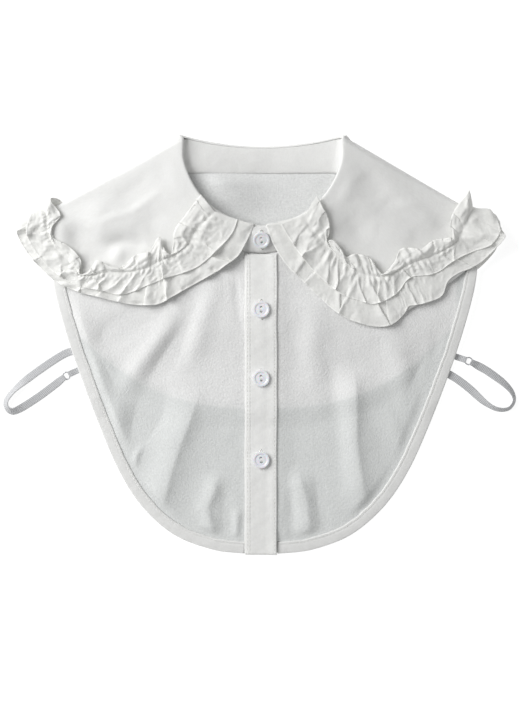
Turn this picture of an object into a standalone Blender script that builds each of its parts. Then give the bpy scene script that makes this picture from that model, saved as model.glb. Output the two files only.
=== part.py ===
"""Detachable blouse collar (a dickey) laid flat on a table, seen from above.

Two front panels with a button placket, a shorter back panel, a neckband, a wide flat collar
with two gathered frills along its edge, bound edges, four buttons and two elastic side straps.
The frame: +X to the wearer's left, +Y towards the neck, +Z up from the table.
Lengths are in millimetres until a piece is placed, and heights are to the middle of a wall.
"""

import math

import bmesh
import bpy
import numpy as np
from mathutils import Matrix, Vector

MM = 0.001

# Cloth and seams
WALL = 1.0
SEAM_GAP = 0.3
LAYER = WALL + SEAM_GAP
PLACKET_WALL = 1.4

# Where the garment's own zero (placket line, hem) lies in the part's frame
ORIGIN_SHIFT = (2.0, -167.6)

# Neck: the fold line of the collar is a rounded front arc and a shallow back arc
NECK_HALF_WIDTH = 66.0
NECK_CORNER_Y = 335.0
NECK_FRONT_DROP = 72.2
NECK_BACK_DIP = 9.0
NECK_ROUNDNESS = 2.1
BAND_WIDTH_IN_PLAN = 21.6
SEAM_HALF_WIDTH = 62.0
FOLD_HEIGHTS = {"front": 17.0, "side": 20.0, "back": 12.5}
FRONT_SHARE = 0.3
BAND_END_X = 9.0
BAND_BULGE = 0.85
BAND_BELOW_RIM = {"front": 1.5, "back": 3.0}
BAND_CORNER = {"turn": 0.325, "reach": 0.08, "inward": 2.8}

# Body panels
RIGHT_FRONT_X = -11.0
LEFT_FRONT_X = RIGHT_FRONT_X + SEAM_GAP
FIRST_COLUMN_X = 16.0
SHOULDER_TIP = (171.0, 264.0)
SIDE_LEAN = 1.5
BACK_INSET = 8.0
BACK_HEM_Y = 117.6
BACK_HEM_RISE = 54.0
BACK_CORNER_X = 142.0
BACK_HALF_COLUMNS = 12
BACK_ROWS = (0.0, 0.13, 0.21, 0.3, 0.38, 0.46, 0.6, 0.8, 1.0)
BINDING_WIDTH = 8.8
BINDING_START_X = {-1: 14.6, 1: 12.0}
FRONT_COLUMNS = 28
ROWS_BELOW_HEM = 3
ROWS_ABOVE_HEM = 6
PLACKET_X = (-14.2, 11.6)
PLACKET_TOP_Y = 240.4

# Half width and height above the hem of the fronts' outer edge, from the placket to the shoulder
FRONT_EDGE = (
    (0.0, 1.0),
    (20.0, 1.8),
    (40.0, 4.6),
    (66.0, 13.8),
    (86.0, 28.0),
    (103.2, 47.2),
    (117.5, 71.2),
    (130.2, 100.0),
    (141.4, 129.0),
    (151.8, 158.0),
    (160.4, 186.4),
    (167.6, 215.2),
    (170.4, 240.0),
    (171.0, 262.5),
)

# Layers, counted from the middle of the garment
FRONT_LAYER = 0.9
BACK_LAYER = -0.9
BINDING_LAYER = FRONT_LAYER + LAYER
FALL_TOP_LAYER = 3.7
FALL_UNDER_LAYER = -2.7
ROLL_RADIUS = (FALL_TOP_LAYER - FALL_UNDER_LAYER) / 2
ROLL_LAYER = (FALL_TOP_LAYER + FALL_UNDER_LAYER) / 2

# Height of the middle of the garment: on the table, over the back hem, over the frills
TABLE_LEVEL = -0.4
BACK_HEM_LEVEL = 1.4
FRILL_LEVEL = 5.8
HEM_RAMP = 18.0
SIDE_LIFT_X = (116.0, 132.0)
SIDE_LIFT_Y = (104.0, 128.0)
FRILL_RAMP_Y = (142.0, 200.0)
NECK_RISE = 6.0
NECK_RISE_REACH = (92.0, 84.0)
FALL_SLOPE_LENGTH = 62.0
TURN_DEPTHS = {"corner": 2.4, "back": 4.4}

# Outline of the collar with its frill, from the front corner to the shoulder fold
RIGHT_LEAF = (
    (-6.8, 262.4),
    (-26.0, 238.0),
    (-59.0, 214.0),
    (-92.0, 200.0),
    (-130.0, 203.0),
    (-166.0, 219.0),
    (-188.0, 241.0),
    (-195.0, 258.5),
)
LEFT_LEAF = (
    (3.6, 262.4),
    (19.6, 231.0),
    (43.0, 207.5),
    (77.0, 186.5),
    (103.0, 186.5),
    (130.0, 200.5),
    (163.0, 224.0),
    (186.0, 244.0),
    (192.0, 257.0),
)
BACK_LEAF = (
    (-195.0, 258.5),
    (-186.0, 241.0),
    (-160.0, 221.0),
    (-110.0, 205.0),
    (-50.0, 197.0),
    (0.0, 195.0),
    (50.0, 197.0),
    (110.0, 205.0),
    (160.0, 221.0),
    (184.0, 240.0),
    (192.0, 257.0),
)
FALL_EDGE_INSET = 3.0
FALL_BEGIN = 0.012
NORMAL_STRETCH = {"least": 0.02, "per mm": 0.0022}
# The collar's rays round the neck, and how far out along each its points lie
LEAF_RAYS, ROLL_RAYS, BACK_RAYS = 14, 4, 14
LEAF_FIRST_TURN = {"right": 0.0185, "left": 0.0095}
TURN_SPREAD = 0.012
TURN_ROWS = 3
FALL_STEPS = (0.0, 0.025, 0.05, 0.08, 0.2, 0.34, 0.5, 0.67, 0.84, 1.0)

# Frills: distances in from the outer edge
STITCH_LINE = 31.0
UPPER_FRILL_EDGE = 11.0
HEADER_EDGE = 42.0
LOWER_FRILL_ROWS = (0.0, 10.0, 21.0, 31.5)
UPPER_FRILL_ROWS = (11.0, 17.0, 24.0, 31.0, 36.0, 42.0)
LOWER_WAVES = 7.5
UPPER_WAVES = 8.5
LOWER_WAVE_HEIGHT = 4.6
UPPER_WAVE_HEIGHT = 4.0
HEADER_RISE = 4.5
HEADER_WAVE_HEIGHT = 4.0
FRILL_CLEARANCE = 1.5
FRILL_SEAM_RISE = 0.6

# Largest folds of the fronts: from, to, height, half width
FOLDS = (
    {"start": (-57.0, 122.0), "end": (-80.0, 34.0), "height": 3.4, "width": 10.0},
    {"start": (-34.0, 96.0), "end": (-43.0, 20.0), "height": 2.0, "width": 9.0},
    {"start": (-112.0, 150.0), "end": (-70.0, 178.0), "height": 2.2, "width": 12.0},
    {"start": (76.0, 134.0), "end": (84.0, 34.0), "height": 3.2, "width": 10.0},
    {"start": (32.0, 92.0), "end": (37.0, 20.0), "height": 2.4, "width": 9.0},
    {"start": (110.0, 132.0), "end": (128.0, 172.0), "height": 1.8, "width": 12.0},
)
FOLD_MARGIN = (10.0, 26.0)

# Buttons
BUTTON_DIAMETER = 13.2
BUTTON_THICKNESS = 2.6
BUTTON_HOLE_DIAMETER = 2.0
BUTTON_HOLE_SPACING = 3.2
BUTTON_X = -1.0
BAND_BUTTON_Y = 251.6
PLACKET_BUTTON_HEIGHTS = (196.4, 141.4, 76.0)

# Side straps: elastic with a ring and a short tab
STRAP_WIDTH = 6.4
STRAP_END_WIDTH = 5.0
STRAP_END_LENGTH = 8.0
RING_DIAMETER = 7.0
RING_WIRE = 1.2
RING_HEIGHT = RING_WIRE / 2 + 0.05
# Each strap's route, from where it is sewn under a front to where it passes over its ring
RIGHT_STRAP = (
    (-146.5, 164.0),
    (-158.0, 161.4),
    (-175.0, 150.8),
    (-193.0, 137.4),
    (-203.4, 127.0),
    (-205.8, 120.4),
    (-202.6, 115.4),
    (-196.6, 116.0),
    (-182.0, 125.0),
    (-171.0, 133.0),
    (-158.6, 142.6),
)
LEFT_STRAP = (
    (144.5, 147.4),
    (155.0, 141.4),
    (166.0, 133.0),
    (178.0, 122.0),
    (188.0, 116.6),
    (197.0, 117.0),
    (201.6, 123.0),
    (200.0, 130.0),
    (194.0, 137.0),
    (186.0, 143.2),
    (178.0, 148.6),
    (166.8, 154.6),
)
# Share along a strap and its tilt there, in degrees
RIGHT_STRAP_TILTS = ((0.1, 0), (0.35, 10), (0.46, 50), (0.58, 50), (0.7, 10), (0.9, 0))
LEFT_STRAP_TILTS = ((0.08, 0), (0.25, 20), (0.4, 60), (0.6, 62), (0.78, 20), (0.9, 0))
RIGHT_RING = (-157.4, 143.4)
LEFT_RING = (165.4, 155.2)
RIGHT_TAB = ((-155.8, 144.3), (-140.0, 151.6))
LEFT_TAB = ((163.6, 155.9), (147.0, 161.4))


def smooth(t):
    t = min(1.0, max(0.0, t))
    return t * t * (3 - 2 * t)


def curve_through(points):
    """A smooth curve through the points: a function from a share of its length to a point."""
    table = np.array(points, float)
    padded = np.vstack((2 * table[0] - table[1], table, 2 * table[-1] - table[-2]))
    dense = []
    steps = np.linspace(0, 1, 24, endpoint=False)[:, None]
    for a, b, c, d in zip(padded, padded[1:], padded[2:], padded[3:]):
        dense.append(
            b
            + 0.5 * steps * (c - a)
            + steps**2 * (a - 2.5 * b + 2 * c - 0.5 * d)
            + steps**3 * (-0.5 * a + 1.5 * b - 1.5 * c + 0.5 * d)
        )
    dense = np.vstack((*dense, table[-1]))
    lengths = np.concatenate(([0], np.cumsum(np.linalg.norm(np.diff(dense, axis=0), axis=1))))

    def at(share):
        place = min(1.0, max(0.0, share)) * lengths[-1]
        return Vector([np.interp(place, lengths, axis) for axis in dense.T])

    at.length = float(lengths[-1])
    return at


front_edge = curve_through(FRONT_EDGE)
right_leaf = curve_through(RIGHT_LEAF)
left_leaf = curve_through(LEFT_LEAF)
back_leaf = curve_through(BACK_LEAF)


def neck_measure(x, y):
    """1 on the collar's front fold line, less inside the neck, more outside it."""
    across = abs(x) / NECK_HALF_WIDTH
    down = max(0.0, NECK_CORNER_Y - y) / NECK_FRONT_DROP
    return (across**NECK_ROUNDNESS + down**NECK_ROUNDNESS) ** (1 / NECK_ROUNDNESS)


def back_hem_y(x):
    return BACK_HEM_Y + BACK_HEM_RISE * (abs(x) / BACK_CORNER_X) ** 2.6


def middle(x, y):
    """Height of the middle of the garment over the table, at a place in plan."""
    over_back = smooth((y - back_hem_y(x) + HEM_RAMP) / HEM_RAMP)
    by_side = smooth((abs(x) - SIDE_LIFT_X[0]) / (SIDE_LIFT_X[1] - SIDE_LIFT_X[0]))
    by_side *= smooth((y - SIDE_LIFT_Y[0]) / (SIDE_LIFT_Y[1] - SIDE_LIFT_Y[0]))
    over_back = max(over_back, by_side)
    over_frill = smooth((y - FRILL_RAMP_Y[0]) / (FRILL_RAMP_Y[1] - FRILL_RAMP_Y[0]))
    height = TABLE_LEVEL
    height += (BACK_HEM_LEVEL - TABLE_LEVEL) * over_back
    height += (FRILL_LEVEL - BACK_HEM_LEVEL) * over_frill
    side = math.hypot(
        (abs(x) - NECK_HALF_WIDTH) / NECK_RISE_REACH[0],
        (y - NECK_CORNER_Y + BAND_WIDTH_IN_PLAN) / NECK_RISE_REACH[1],
    )
    height += NECK_RISE * smooth(1 - side)
    return height


def from_segment(x, y, start, end):
    """Distance to a line between two points, and the share along it."""
    ax, ay = start
    bx, by = end
    along = ((x - ax) * (bx - ax) + (y - ay) * (by - ay)) / ((bx - ax) ** 2 + (by - ay) ** 2)
    nearest = min(1.0, max(0.0, along))
    return math.hypot(x - ax - nearest * (bx - ax), y - ay - nearest * (by - ay)), nearest


def folds_at(x, y):
    """Height of the fronts' folds, which fade out before the placket and the bound edge."""
    height = 0.0
    for fold in FOLDS:
        off, along = from_segment(x, y, fold["start"], fold["end"])
        height += fold["height"] * smooth(1 - off / (2 * fold["width"])) * math.sin(
            math.pi * (0.15 + 0.7 * along)
        )
    to_edge = edge_distance(x, y)
    fade = smooth((to_edge - FOLD_MARGIN[0]) / (FOLD_MARGIN[1] - FOLD_MARGIN[0]))
    return height * fade * smooth((abs(x) - 16) / 12)


edge_points = [front_edge(k / 60) for k in range(61)]


def edge_distance(x, y):
    return min(math.hypot(abs(x) - p.x, y - p.y) for p in edge_points)


def front_height(x, y):
    return middle(x, y) + FRONT_LAYER + folds_at(x, y)


def fall_height(x, y):
    """Height of the collar's front leaves, which slope down from the fold line."""
    measure = neck_measure(x, y)
    across = min(1.0, abs(x) / NECK_HALF_WIDTH / max(measure, 0.01))
    fold = FOLD_HEIGHTS["front"] + (FOLD_HEIGHTS["side"] - FOLD_HEIGHTS["front"]) * across**2
    rest = middle(x, y) + FALL_TOP_LAYER
    away = max(0.0, measure - 1) * NECK_HALF_WIDTH
    return rest + max(0.0, fold - rest) * max(0.0, 1 - away / FALL_SLOPE_LENGTH) ** 2


def material(name, colour, roughness, metallic=0.0):
    made = bpy.data.materials.new(name)
    made.use_nodes = True
    shader = made.node_tree.nodes["Principled BSDF"]
    shader.inputs["Base Color"].default_value = (*colour, 1.0)
    shader.inputs["Roughness"].default_value = roughness
    shader.inputs["Metallic"].default_value = metallic
    made.diffuse_color = (*colour, 1.0)
    return made


def to_frame(point):
    x, y, z = point
    return Vector(((x + ORIGIN_SHIFT[0]) * MM, (y + ORIGIN_SHIFT[1]) * MM, z * MM))


def cloth(name, columns, rows, place, finish, wall=WALL):
    """A flat grid, as the cloth is cut, with each point moved to where it lies, and given a wall."""
    grid = bmesh.new()
    bmesh.ops.create_grid(grid, x_segments=columns, y_segments=rows, size=1.0)
    for vertex in grid.verts:
        along = (vertex.co.x + 1) / 2
        across = (vertex.co.y + 1) / 2
        vertex.co = to_frame(place(along, across))
    mesh = bpy.data.meshes.new(name)
    grid.to_mesh(mesh)
    grid.free()
    mesh.shade_smooth()
    piece = bpy.data.objects.new(name, mesh)
    parts.objects.link(piece)
    piece.data.materials.append(finish)
    shell = piece.modifiers.new("wall", "SOLIDIFY")
    shell.thickness = wall * MM
    shell.offset = 0.0
    shell.use_even_offset = True
    return piece


def shoulder_y(x):
    """The shoulder seam, from the neckband to the tip, slightly curved."""
    share = (abs(x) - SEAM_HALF_WIDTH) / (SHOULDER_TIP[0] - SEAM_HALF_WIDTH)
    start = NECK_CORNER_Y - BAND_WIDTH_IN_PLAN
    return start + (SHOULDER_TIP[1] - start) * share + 5 * math.sin(math.pi * share)


def front_neck_y(x):
    across = min(1.0, abs(x) / SEAM_HALF_WIDTH)
    depth = NECK_FRONT_DROP * (1 - across**NECK_ROUNDNESS) ** (1 / NECK_ROUNDNESS)
    return NECK_CORNER_Y - BAND_WIDTH_IN_PLAN - depth


def back_neck_y(x):
    across = min(1.0, abs(x) / SEAM_HALF_WIDTH)
    return NECK_CORNER_Y - BAND_WIDTH_IN_PLAN - NECK_BACK_DIP * (1 - across**2)


def share_at_x(x):
    low, high = 0.0, 1.0
    for _ in range(30):
        half = (low + high) / 2
        if front_edge(half).x < x:
            low = half
        else:
            high = half
    return low


def leant(x):
    """The panels' sides lie a little to the wearer's left of the placket line."""
    return x + SIDE_LEAN * smooth((abs(x) - 70) / 80)


def front_column(share, centre_x=None):
    """One column of a front, from the outer edge by the binding's inner edge up to the neck seam."""
    if centre_x is not None:
        edge = Vector((centre_x, front_edge(share_at_x(abs(centre_x))).y))
        neck = Vector((centre_x, front_neck_y(centre_x)))
        inward = Vector((0, 1))
    else:
        first = share_at_x(FIRST_COLUMN_X)
        place = first + (1 - first) * share
        edge = front_edge(place)
        start = math.asin(FIRST_COLUMN_X / SEAM_HALF_WIDTH)
        neck_x = SEAM_HALF_WIDTH * math.sin(start + (math.pi / 2 - start) * share)
        neck = Vector((neck_x, front_neck_y(neck_x)))
        ahead = front_edge(min(1.0, place + 0.01)) - front_edge(max(0.0, place - 0.01))
        inward = Vector((-ahead.y, ahead.x)).normalized()
        inward = inward.lerp((neck - edge).normalized(), smooth((share - 0.8) / 0.2)).normalized()
    ring_point = edge + inward * BINDING_WIDTH
    crossings = []
    for level in (-HEM_RAMP, 0.0):
        low, high = 0.0, 1.0
        for _ in range(24):
            half = (low + high) / 2
            point = ring_point.lerp(neck, half)
            if point.y < back_hem_y(point.x) + level:
                low = half
            else:
                high = half
        crossings.append(high)
    low = max(0.12, crossings[0])
    high = max(low + 0.08, crossings[1])
    shares = [low * k / ROWS_BELOW_HEM for k in range(ROWS_BELOW_HEM)]
    shares += [low, (low + high) / 2]
    shares += [high + (1 - high) * k / ROWS_ABOVE_HEM for k in range(ROWS_ABOVE_HEM + 1)]
    return [edge] + [ring_point.lerp(neck, share) for share in shares]


def front_panel(name, side, centre_x, finish):
    """One front: side is -1 for the wearer's right and 1 for the left."""
    columns = [front_column(0, side * centre_x)]
    columns += [front_column(k / (FRONT_COLUMNS - 1)) for k in range(FRONT_COLUMNS)]
    rows = len(columns[0]) - 1

    def place(along, across):
        point = columns[round(along * FRONT_COLUMNS)][round(across * rows)]
        x, y = leant(side * point.x), point.y
        return (x, y, front_height(x, y))

    return cloth(name, FRONT_COLUMNS, rows, place, finish)


def back_panel(finish):
    """The back, shorter than the fronts, with its sides set in from theirs."""
    tip_x = SHOULDER_TIP[0] - BACK_INSET
    outline = [(x, back_hem_y(x)) for x in (0, 30, 60, 90, 115, 132)]
    outline += [(146.0, 178.0), (155.0, 208.0), (tip_x - 2.5, 240.0), (tip_x, 262.0)]
    edge = curve_through(outline)

    def place(along, across):
        side = -1 if along < 0.5 else 1
        point = edge(abs(2 * along - 1))
        x = point.x
        high = back_neck_y(x) if x < SEAM_HALF_WIDTH else shoulder_y(x) - 0.5
        y = point.y + (high - point.y) * BACK_ROWS[round(across * (len(BACK_ROWS) - 1))]
        x = leant(side * x)
        return (x, y, middle(x, y) + BACK_LAYER)

    return cloth("back_panel", 2 * BACK_HALF_COLUMNS, len(BACK_ROWS) - 1, place, finish)


def binding(name, side, finish):
    """The folded band along a front's outer edge, made from the panel's outer two rows of points."""
    columns = [front_column(0, BINDING_START_X[side])]
    columns += [front_column(k / (FRONT_COLUMNS - 1)) for k in range(FRONT_COLUMNS)]
    count = FRONT_COLUMNS

    def place(along, across):
        point = columns[round(along * count)][round(across)]
        x, y = leant(side * point.x), point.y
        return (x, y, middle(x, y) + BINDING_LAYER)

    return cloth(name, count, 1, place, finish)


def neck_fold(turn):
    """A place on the fold line, once round from the centre front by the wearer's right."""
    turn = turn % 1.0
    side = -1 if turn <= 0.5 else 1
    t = min(turn, 1 - turn)
    if t <= FRONT_SHARE:
        angle = t / FRONT_SHARE * math.pi / 2
        power = 2 / NECK_ROUNDNESS
        x = NECK_HALF_WIDTH * math.sin(angle) ** power
        y = NECK_CORNER_Y - NECK_FRONT_DROP * max(0.0, math.cos(angle)) ** power
        rise = math.sin(angle) ** 2
        z = FOLD_HEIGHTS["front"] + (FOLD_HEIGHTS["side"] - FOLD_HEIGHTS["front"]) * rise
        return Vector((side * x, y, z))
    angle = (t - FRONT_SHARE) / (0.5 - FRONT_SHARE) * math.pi / 2
    x = NECK_HALF_WIDTH * math.cos(angle)
    y = NECK_CORNER_Y - NECK_BACK_DIP * math.sin(angle) ** 2
    z = FOLD_HEIGHTS["side"] + (FOLD_HEIGHTS["back"] - FOLD_HEIGHTS["side"]) * math.sin(angle)
    return Vector((side * x, y, z))


def turn_depth(turn):
    """How far the turned edge of the collar stands out past its seam with the band."""
    t = min(turn % 1.0, 1 - turn % 1.0)
    corner, back = TURN_DEPTHS["corner"], TURN_DEPTHS["back"]
    if t <= FRONT_SHARE:
        return corner * smooth((t - FRONT_SHARE + 0.06) / 0.06)
    return corner + (back - corner) * smooth((t - FRONT_SHARE) / 0.06)


def neck_rim(turn):
    """Where the collar joins the band: on the fold line in front, inside it at the sides and back."""
    point = neck_fold(turn)
    t = min(turn % 1.0, 1 - turn % 1.0)
    depth = turn_depth(turn)
    on_back = smooth((t - FRONT_SHARE) / 0.03)
    point.x -= math.copysign(depth * (1 - on_back), point.x)
    point.y -= depth * smooth((t - FRONT_SHARE + 0.015) / 0.03)
    return point


def neckband(finish):
    """The standing band: from the neck seam up to the fold line, leaning back as it lies."""
    gap_turn = BAND_END_X / NECK_HALF_WIDTH / (math.pi / 2) * FRONT_SHARE

    def place(along, across):
        turn = -gap_turn + 0.0008 + along * (1 - 0.0016)
        top = neck_rim(turn)
        fold = neck_fold(turn)
        t = min(turn % 1.0, 1 - turn % 1.0)
        x = fold.x * SEAM_HALF_WIDTH / NECK_HALF_WIDTH
        y = fold.y - BAND_WIDTH_IN_PLAN
        on_back = smooth((t - FRONT_SHARE) / (0.5 - FRONT_SHARE) * 3)
        layer = FRONT_LAYER + (BACK_LAYER - FRONT_LAYER) * on_back
        low = Vector((x, y, middle(x, y) + layer + WALL + 0.4))
        below = BAND_BELOW_RIM["front"]
        below += (BAND_BELOW_RIM["back"] - below) * smooth((t - FRONT_SHARE + 0.03) / 0.03)
        high = top - Vector((0, 0, below))
        near_corner = smooth(1 - abs(t - BAND_CORNER["turn"]) / BAND_CORNER["reach"])
        high.y -= BAND_CORNER["inward"] * near_corner
        point = low.lerp(high, across)
        point.z += BAND_BULGE * math.sin(math.pi * across)
        return point

    return cloth("neckband", 48, 2, place, finish)


shoulder_ends = {-1: Vector(RIGHT_LEAF[-1]), 1: Vector(LEFT_LEAF[-1])}


def shoulder_direction(side):
    """Along the shoulder fold, from the outer edge to the neck."""
    neck = Vector((side * NECK_HALF_WIDTH, NECK_CORNER_Y))
    return (neck - shoulder_ends[side]).normalized()


def roll_outward(side):
    along = shoulder_direction(side)
    return Vector((-along.y, along.x)) if side < 0 else Vector((along.y, -along.x))


def leaf_ray(kind, share, v):
    """A place on the collar's front leaves: v goes from the neck out to the edge."""
    side = -1 if kind == "right" else 1
    leaf = right_leaf if kind == "right" else left_leaf
    first = LEAF_FIRST_TURN[kind]
    t = first + (FRONT_SHARE - TURN_SPREAD - first) * share**0.9
    inner = neck_rim(t if side < 0 else 1 - t)
    outer = inset(leaf, FALL_BEGIN + (1 - FALL_BEGIN) * share, side, FALL_EDGE_INSET)
    plan = Vector(inner.xy).lerp(outer, v)
    return Vector((plan.x, plan.y, fall_height(plan.x, plan.y)))


def turned_ray(t, outer, layer, row):
    """A place on the collar where it turns down behind the band and lies under the back."""
    fold, depth = neck_fold(t), turn_depth(t)
    if row <= TURN_ROWS:
        angle = math.pi * row / TURN_ROWS
        plan = Vector((fold.x, fold.y - depth * (1 - math.sin(angle))))
        rest = middle(fold.x, fold.y - depth) + layer
        height = (fold.z + rest) / 2 + (fold.z - rest) / 2 * math.cos(angle)
        return Vector((plan.x, plan.y, height))
    v = FALL_STEPS[row]
    start = Vector((fold.x, fold.y - depth))
    plan = start.lerp(outer, v)
    return Vector((plan.x, plan.y, middle(plan.x, plan.y) + layer))


def shoulder_ray(side, over, row):
    """A place on the collar where it folds over a shoulder: over goes from the front to the back."""
    t = FRONT_SHARE + TURN_SPREAD * (2 * over - 1)
    turn = t if side < 0 else 1 - t
    inner = neck_rim(turn)
    angle = math.pi / 2 - math.pi * over
    end = shoulder_ends[side] + shoulder_direction(side) * FALL_EDGE_INSET
    outer = end + roll_outward(side) * ROLL_RADIUS * math.cos(angle)
    layer = ROLL_LAYER + ROLL_RADIUS * math.sin(angle)
    plan = Vector(inner.xy).lerp(outer, FALL_STEPS[row])
    rest = middle(plan.x, plan.y) + layer
    above = max(0.0, 1 - (plan - Vector(inner.xy)).length / FALL_SLOPE_LENGTH) ** 2
    in_front = Vector((plan.x, plan.y, rest + (inner.z - rest) * above))
    behind = turned_ray(turn, outer, layer, row)
    return in_front.lerp(behind, smooth(over))


def collar_fall(finish):
    """The collar itself, one sheet round the neck: over the fronts, round each shoulder, under the back."""
    rays = [("right", k / LEAF_RAYS) for k in range(LEAF_RAYS + 1)]
    rays += [("right_roll", k / ROLL_RAYS) for k in range(1, ROLL_RAYS)]
    rays += [("back", k / BACK_RAYS) for k in range(BACK_RAYS + 1)]
    rays += [("left_roll", k / ROLL_RAYS) for k in range(1, ROLL_RAYS)]
    rays += [("left", k / LEAF_RAYS) for k in range(LEAF_RAYS, -1, -1)]
    count = len(rays) - 1

    def place(along, across):
        kind, share = rays[round(along * count)]
        row = round(across * (len(FALL_STEPS) - 1))
        if kind in ("right", "left"):
            return leaf_ray(kind, share, FALL_STEPS[row])
        if kind == "back":
            t = FRONT_SHARE + TURN_SPREAD + (1 - 2 * FRONT_SHARE - 2 * TURN_SPREAD) * share
            return turned_ray(t, inset_back(share, FALL_EDGE_INSET), FALL_UNDER_LAYER, row)
        side = -1 if kind == "right_roll" else 1
        return shoulder_ray(side, share if side < 0 else 1 - share, row)

    return cloth("collar_fall", count, len(FALL_STEPS) - 1, place, finish)


def inward_normal(curve, share, distance, flip):
    """Square to an outline, evened out over a longer stretch for places further in."""
    half = NORMAL_STRETCH["least"] + NORMAL_STRETCH["per mm"] * distance
    ahead = curve(share + half) - curve(share - half)
    across = Vector((-ahead.y, ahead.x)) * flip
    return across.normalized()


def inset(leaf, share, side, distance):
    """A place in from a front leaf's outline, turning to the shoulder fold's direction at its end."""
    inward = inward_normal(leaf, share, distance, side)
    inward = inward.lerp(shoulder_direction(side), smooth((share - 0.7) / 0.3))
    return leaf(share) + inward.normalized() * distance


def inset_back(share, distance):
    """The same for the back leaf, which has a shoulder fold at each end."""
    inward = inward_normal(back_leaf, share, distance, 1)
    right = smooth(1 - share / 0.16)
    left = smooth(1 - (1 - share) / 0.16)
    inward = inward.lerp(shoulder_direction(-1), right).lerp(shoulder_direction(1), left)
    return back_leaf(share) + inward.normalized() * distance


def start_share(leaf, side, distance):
    """Where a frill's row begins: on the fold line at the front of the neck."""
    low, high = 0.0, 0.5
    for _ in range(24):
        half = (low + high) / 2
        point = inset(leaf, half, side, distance)
        if neck_measure(point.x, point.y) < 1.015:
            low = half
        else:
            high = half
    return high


def on_collar(station, distance, lift):
    """A place over the collar's outside: in from its outer edge and lifted off it."""
    kind, share = station
    if kind in ("right", "left"):
        side = -1 if kind == "right" else 1
        leaf = right_leaf if side < 0 else left_leaf
        first = start_share(leaf, side, max(0.0, distance))
        point = inset(leaf, first + (1 - first) * share, side, distance)
        return (point.x, point.y, fall_height(point.x, point.y) + lift)
    if kind == "back":
        point = inset_back(share, distance)
        height = middle(point.x, point.y) + FALL_UNDER_LAYER - lift
        return (point.x, point.y, height)
    side = -1 if kind == "right_roll" else 1
    over = share if side < 0 else 1 - share
    angle = math.pi / 2 - math.pi * over
    point = shoulder_ends[side] + shoulder_direction(side) * distance
    point = point + roll_outward(side) * (ROLL_RADIUS + lift) * math.cos(angle)
    height = middle(point.x, point.y) + ROLL_LAYER + (ROLL_RADIUS + lift) * math.sin(angle)
    return (point.x, point.y, height)


def stations(front_count, back_count, roll_count):
    """The columns of a frill, from the right front corner round the back to the left one."""
    made = [("right", k / front_count) for k in range(front_count + 1)]
    made += [("right_roll", k / roll_count) for k in range(1, roll_count)]
    made += [("back", k / back_count) for k in range(back_count + 1)]
    made += [("left_roll", k / roll_count) for k in range(1, roll_count)]
    made += [("left", k / front_count) for k in range(front_count, -1, -1)]
    return made


def standing(station):
    """1 where a frill stands up on the fronts, falling to 0 where the back presses it flat."""
    kind, share = station
    if kind == "back":
        return 0.0
    if kind == "right_roll":
        return 1 - smooth(share)
    if kind == "left_roll":
        return smooth(share)
    return 1.0


def wave(station, waves, offset):
    """0 to 1, the uneven waves of a frill."""
    kind, share = station
    if kind.endswith("roll"):
        share = 1.0
    phase = 2 * math.pi * (waves * share + offset) + 0.9 * math.sin(2 * math.pi * 2.3 * share + offset)
    start = smooth(share * 12)
    return (0.5 + 0.5 * math.cos(phase)) * start


def lower_lift(station, distance):
    out = (STITCH_LINE - distance) / STITCH_LINE
    rise = FRILL_SEAM_RISE + LOWER_WAVE_HEIGHT * max(0.0, out) ** 0.8 * wave(station, LOWER_WAVES, 0.15)
    return LAYER + rise * standing(station)


def upper_lift(station, distance):
    stand = standing(station)
    if distance <= STITCH_LINE:
        out = (STITCH_LINE - distance) / (STITCH_LINE - UPPER_FRILL_EDGE)
        rise = FRILL_CLEARANCE * out**0.6 + UPPER_WAVE_HEIGHT * out**0.8 * wave(station, UPPER_WAVES, 0.55)
        return lower_lift(station, distance) + LAYER + rise * stand
    out = (distance - STITCH_LINE) / (HEADER_EDGE - STITCH_LINE)
    rise = FRILL_SEAM_RISE + HEADER_RISE * out + HEADER_WAVE_HEIGHT * out * wave(station, UPPER_WAVES, 0.05)
    return 2 * LAYER + rise * stand


def frill(name, rows, lift_at, front_count, finish):
    columns = stations(front_count, 14, 4)

    def place(along, across):
        station = columns[round(along * (len(columns) - 1))]
        distance = rows[round(across * (len(rows) - 1))]
        return on_collar(station, distance, lift_at(station, distance))

    return cloth(name, len(columns) - 1, len(rows) - 1, place, finish)


def placket(finish):
    """The buttonhole band down the centre front, lying on both fronts and made on their rows."""
    rows = [0.0] + [point.y for point in front_column(0, RIGHT_FRONT_X)[1:-1]] + [PLACKET_TOP_Y]
    layer = FRONT_LAYER + WALL / 2 + SEAM_GAP + PLACKET_WALL / 2

    def place(along, across):
        x = PLACKET_X[0] + (PLACKET_X[1] - PLACKET_X[0]) * along
        y = rows[round(across * (len(rows) - 1))]
        return (x, y, middle(x, max(y, 2.0)) + layer)

    return cloth("placket", 1, len(rows) - 1, place, finish, wall=PLACKET_WALL)


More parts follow.
